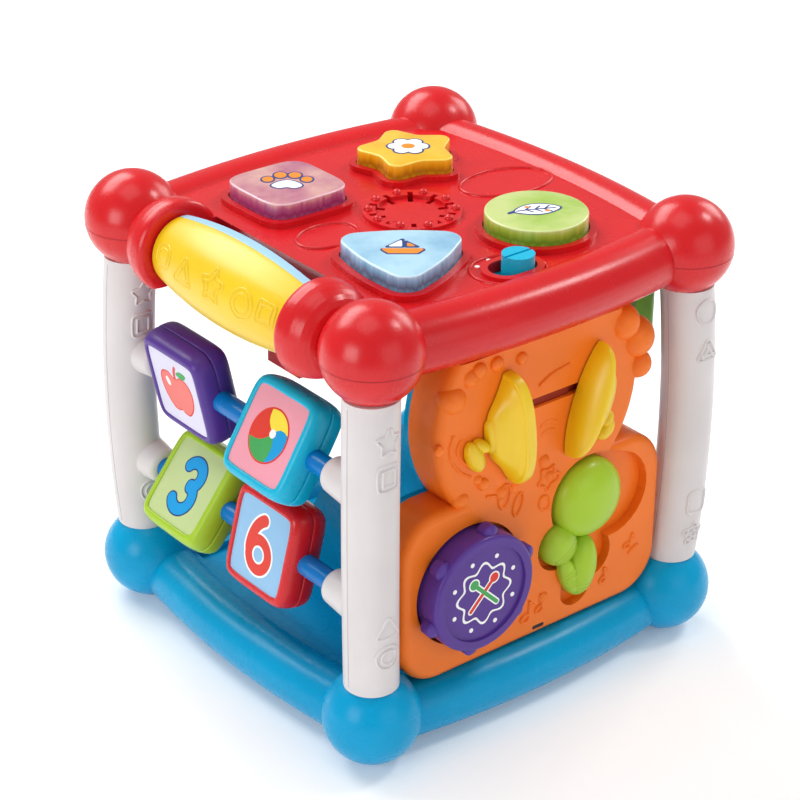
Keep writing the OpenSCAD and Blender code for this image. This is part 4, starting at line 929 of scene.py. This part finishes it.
slider_lip = smooth_loop([(-14.6, -67.4), (-8.0, -71.2), (0.0, -70.9), (7.6, -68.6), (10.6, -62.5),
                          (8.8, -56.0), (2.6, -50.6), (-4.0, -48.8), (-10.0, -49.8),
                          (-15.2, -54.0), (-17.2, -60.5)], 8)
rims = [oval(-35.4, 1.0, (11.15, -3.6), (6.4, 8.55)),
        oval(48.5, 0.2, (17.0, -6.9), (8.8, 10.1)),
        slider_lip]
piece("top_ovals", *relief(rims, flat_top, width=1.4, height=0.8), RED, "frame", sharp=60)
slider_dots = [circle(-10.4, -52.5, 0.95, 24), circle(-3.6, -50.7, 0.85, 24)]
on_plate = Matrix.Translation((0, 0, PLATE))
print_layer("slider_marks", slider_dots, 0.3, PRINT_WHITE, "frame", on_plate, thick=0.5)

# Roller
ROLLER_ARC = (ROLLER_HALF ** 2 + ROLLER_BULGE ** 2) / (2 * ROLLER_BULGE)


def roller_surface(facing):
    """Round the roller from an angle above its outer side: u along it, v round it."""
    def at(u, v):
        r = ROLLER_RADIUS - ROLLER_ARC + math.sqrt(ROLLER_ARC ** 2 - u * u)
        angle = math.radians(facing) + v / ROLLER_RADIUS
        normal = Vector((-math.cos(angle), 0, math.sin(angle)))
        return Vector((ROLLER_AT.x, u, ROLLER_AT.z)) + normal * r, normal

    return at


def roller_marks(name, facing, mat):
    """Shallow outlines moulded into one half of the roller, each drawn twice."""
    shapes = [(15.5, 0.0, rounded([(-6.4, -5.2), (6.4, -5.2), (0, 6.0)], 1.2, 6)),
              (-2.5, 0.6, star_outline(7.4, 4.0, 0.9, 0.9, turn=90)),
              (-19.0, 0.0, circle(0, 0, 5.6, 48)),
              (-31.0, 0.8, bulged(4.4, 4.8, 7, 64)),
              (30.5, 0.4, bulged(5.0, 5.0, 2.6, 64))]
    paths = []
    for u, v, outline in shapes:
        for line in (outline, inset(outline, 1.9)):
            paths.append([Vector((u - p.x, v + p.y)) for p in line][::-1])
    lines = relief(paths, roller_surface(facing), width=1.0, height=0.34)
    return piece(name, *lines, mat, "roller", sharp=60)


roller_marks("roller_yellow_marks", 16.0, YELLOW)


def roller_lip(name, mat):
    """A low lip along the roller's top, where its two halves meet."""
    surface = roller_surface(0.0)
    half, steps = ROLLER_HALF - 0.4, 24
    section = ((86.0, -0.3), (86.2, 0.12), (88.0, 0.2), (98.0, 0.2), (100.4, 0.12), (100.6, -0.3))
    rings = []
    for k in range(-steps, steps + 1):
        ring = []
        for degrees, rise in section:
            point, normal = surface(half * k / steps, math.radians(degrees) * ROLLER_RADIUS)
            ring.append(tuple(point + normal * rise))
        rings.append(ring)
    return piece(name, *loft(rings), mat, "roller", sharp=50)


roller_lip("roller_blue_lip", PALE_BLUE)


# Corner balls
def ball_seam(cx, cy, drop=1.95, steps=96):
    """A fine line round a top ball where its halves meet, a little below its middle."""
    radius = math.sqrt(BALL_RADIUS ** 2 - drop ** 2)
    section = ((-0.12, -0.2), (0.03, -0.14), (0.03, 0.14), (-0.12, 0.2))
    rings = []
    for i in range(steps + 1):
        ring = []
        for out, up in section:
            at = polar(radius + out, 360.0 * i / steps)
            ring.append((cx * CORNER + at.x, cy * CORNER + at.y, BALL_HEIGHT - drop + up))
        rings.append(ring)
    return loft(rings, cap_low=False, cap_high=False)


piece("ball_seams", *join([ball_seam(*corner) for corner in CORNERS.values()]), SEAM_RED, "frame", sharp=60)

# Camera, lamps and floor: places in metres, angles in degrees, lens and sensor in millimetres
CAMERA_AT = (-0.496368, -0.615197, 0.504851)
CAMERA_AZIMUTH, CAMERA_ELEVATION, CAMERA_ROLL = -38.771, 27.600, 0.37815
LENS, SENSOR = 105.4375, 36.0
# Each lamp: name, place, height of its aim over the floor's middle, width, height and power
LAMPS = (("left_light", (-1.02, -0.16, 0.44), 0.09, 0.5, 0.5, 3.7),
         ("right_light", (1.05, 0.12, 0.66), 0.1, 0.5, 0.5, 3.6),
         ("back_light", (-0.10, 0.95, 1.05), 0.1, 1.1, 0.6, 12.5),
         ("top_light", (-0.2, 0.0, 1.25), 0.1, 0.7, 0.7, 2.4),
         ("strip_light", (0.72, -0.32, 1.02), 0.1, 0.22, 0.22, 3.2),
         ("front_light", (0.1, -1.5, 0.60), 0.09, 1.2, 1.0, 3.7))
WORLD_LIGHT = 0.36
FLOOR_GLOW = 0.12
FLOOR_HALF = 4.0


def add_camera():
    """The camera at the photograph's place."""
    data = bpy.data.cameras.new("camera")
    data.lens = LENS
    data.sensor_width = SENSOR
    data.sensor_fit = "HORIZONTAL"
    camera = bpy.data.objects.new("camera", data)
    az, el, roll = (math.radians(a) for a in (CAMERA_AZIMUTH, CAMERA_ELEVATION, CAMERA_ROLL))
    back = Vector((math.sin(az) * math.cos(el), -math.cos(az) * math.cos(el), math.sin(el)))
    right = Vector((0, 0, 1)).cross(back).normalized()
    up = back.cross(right)
    right, up = math.cos(roll) * right + math.sin(roll) * up, math.cos(roll) * up - math.sin(roll) * right
    turn = Matrix((right, up, back)).transposed().to_4x4()
    camera.matrix_world = Matrix.Translation(CAMERA_AT) @ turn
    scene.collection.objects.link(camera)
    scene.camera = camera


def add_lamp(name, place, aim, width, height, power):
    """A soft rectangular lamp that looks at the cube."""
    lamp = bpy.data.lights.new(name, "AREA")
    lamp.shape = "RECTANGLE"
    lamp.size = width
    lamp.size_y = height
    lamp.energy = power
    obj = bpy.data.objects.new(name, lamp)
    obj.location = place
    obj.rotation_euler = (Vector((0, 0, aim)) - Vector(place)).to_track_quat("-Z", "Y").to_euler()
    scene.collection.objects.link(obj)


def add_world():
    """Even white light from all round."""
    world = bpy.data.worlds.new("studio")
    world.use_nodes = True
    background = world.node_tree.nodes["Background"]
    background.inputs["Color"].default_value = (1, 1, 1, 1)
    background.inputs["Strength"].default_value = WORLD_LIGHT
    scene.world = world


def add_floor():
    """A pale floor that glows a little."""
    s = FLOOR_HALF
    floor_mesh = bpy.data.meshes.new("floor")
    floor_mesh.from_pydata([(-s, -s, 0), (s, -s, 0), (s, s, 0), (-s, s, 0)], [], [(0, 1, 2, 3)])
    floor = bpy.data.objects.new("floor", floor_mesh)
    scene.collection.objects.link(floor)
    mat = bpy.data.materials.new("pale_floor")
    mat.use_nodes = True
    shader = mat.node_tree.nodes["Principled BSDF"]
    shader.inputs["Base Color"].default_value = (0.95, 0.95, 0.95, 1)
    shader.inputs["Roughness"].default_value = 0.9
    shader.inputs["Emission Color"].default_value = (1, 1, 1, 1)
    shader.inputs["Emission Strength"].default_value = FLOOR_GLOW
    floor_mesh.materials.append(mat)


add_camera()
for lamp in LAMPS:
    add_lamp(*lamp)
add_world()
add_floor()

scene.view_settings.view_transform = "Standard"
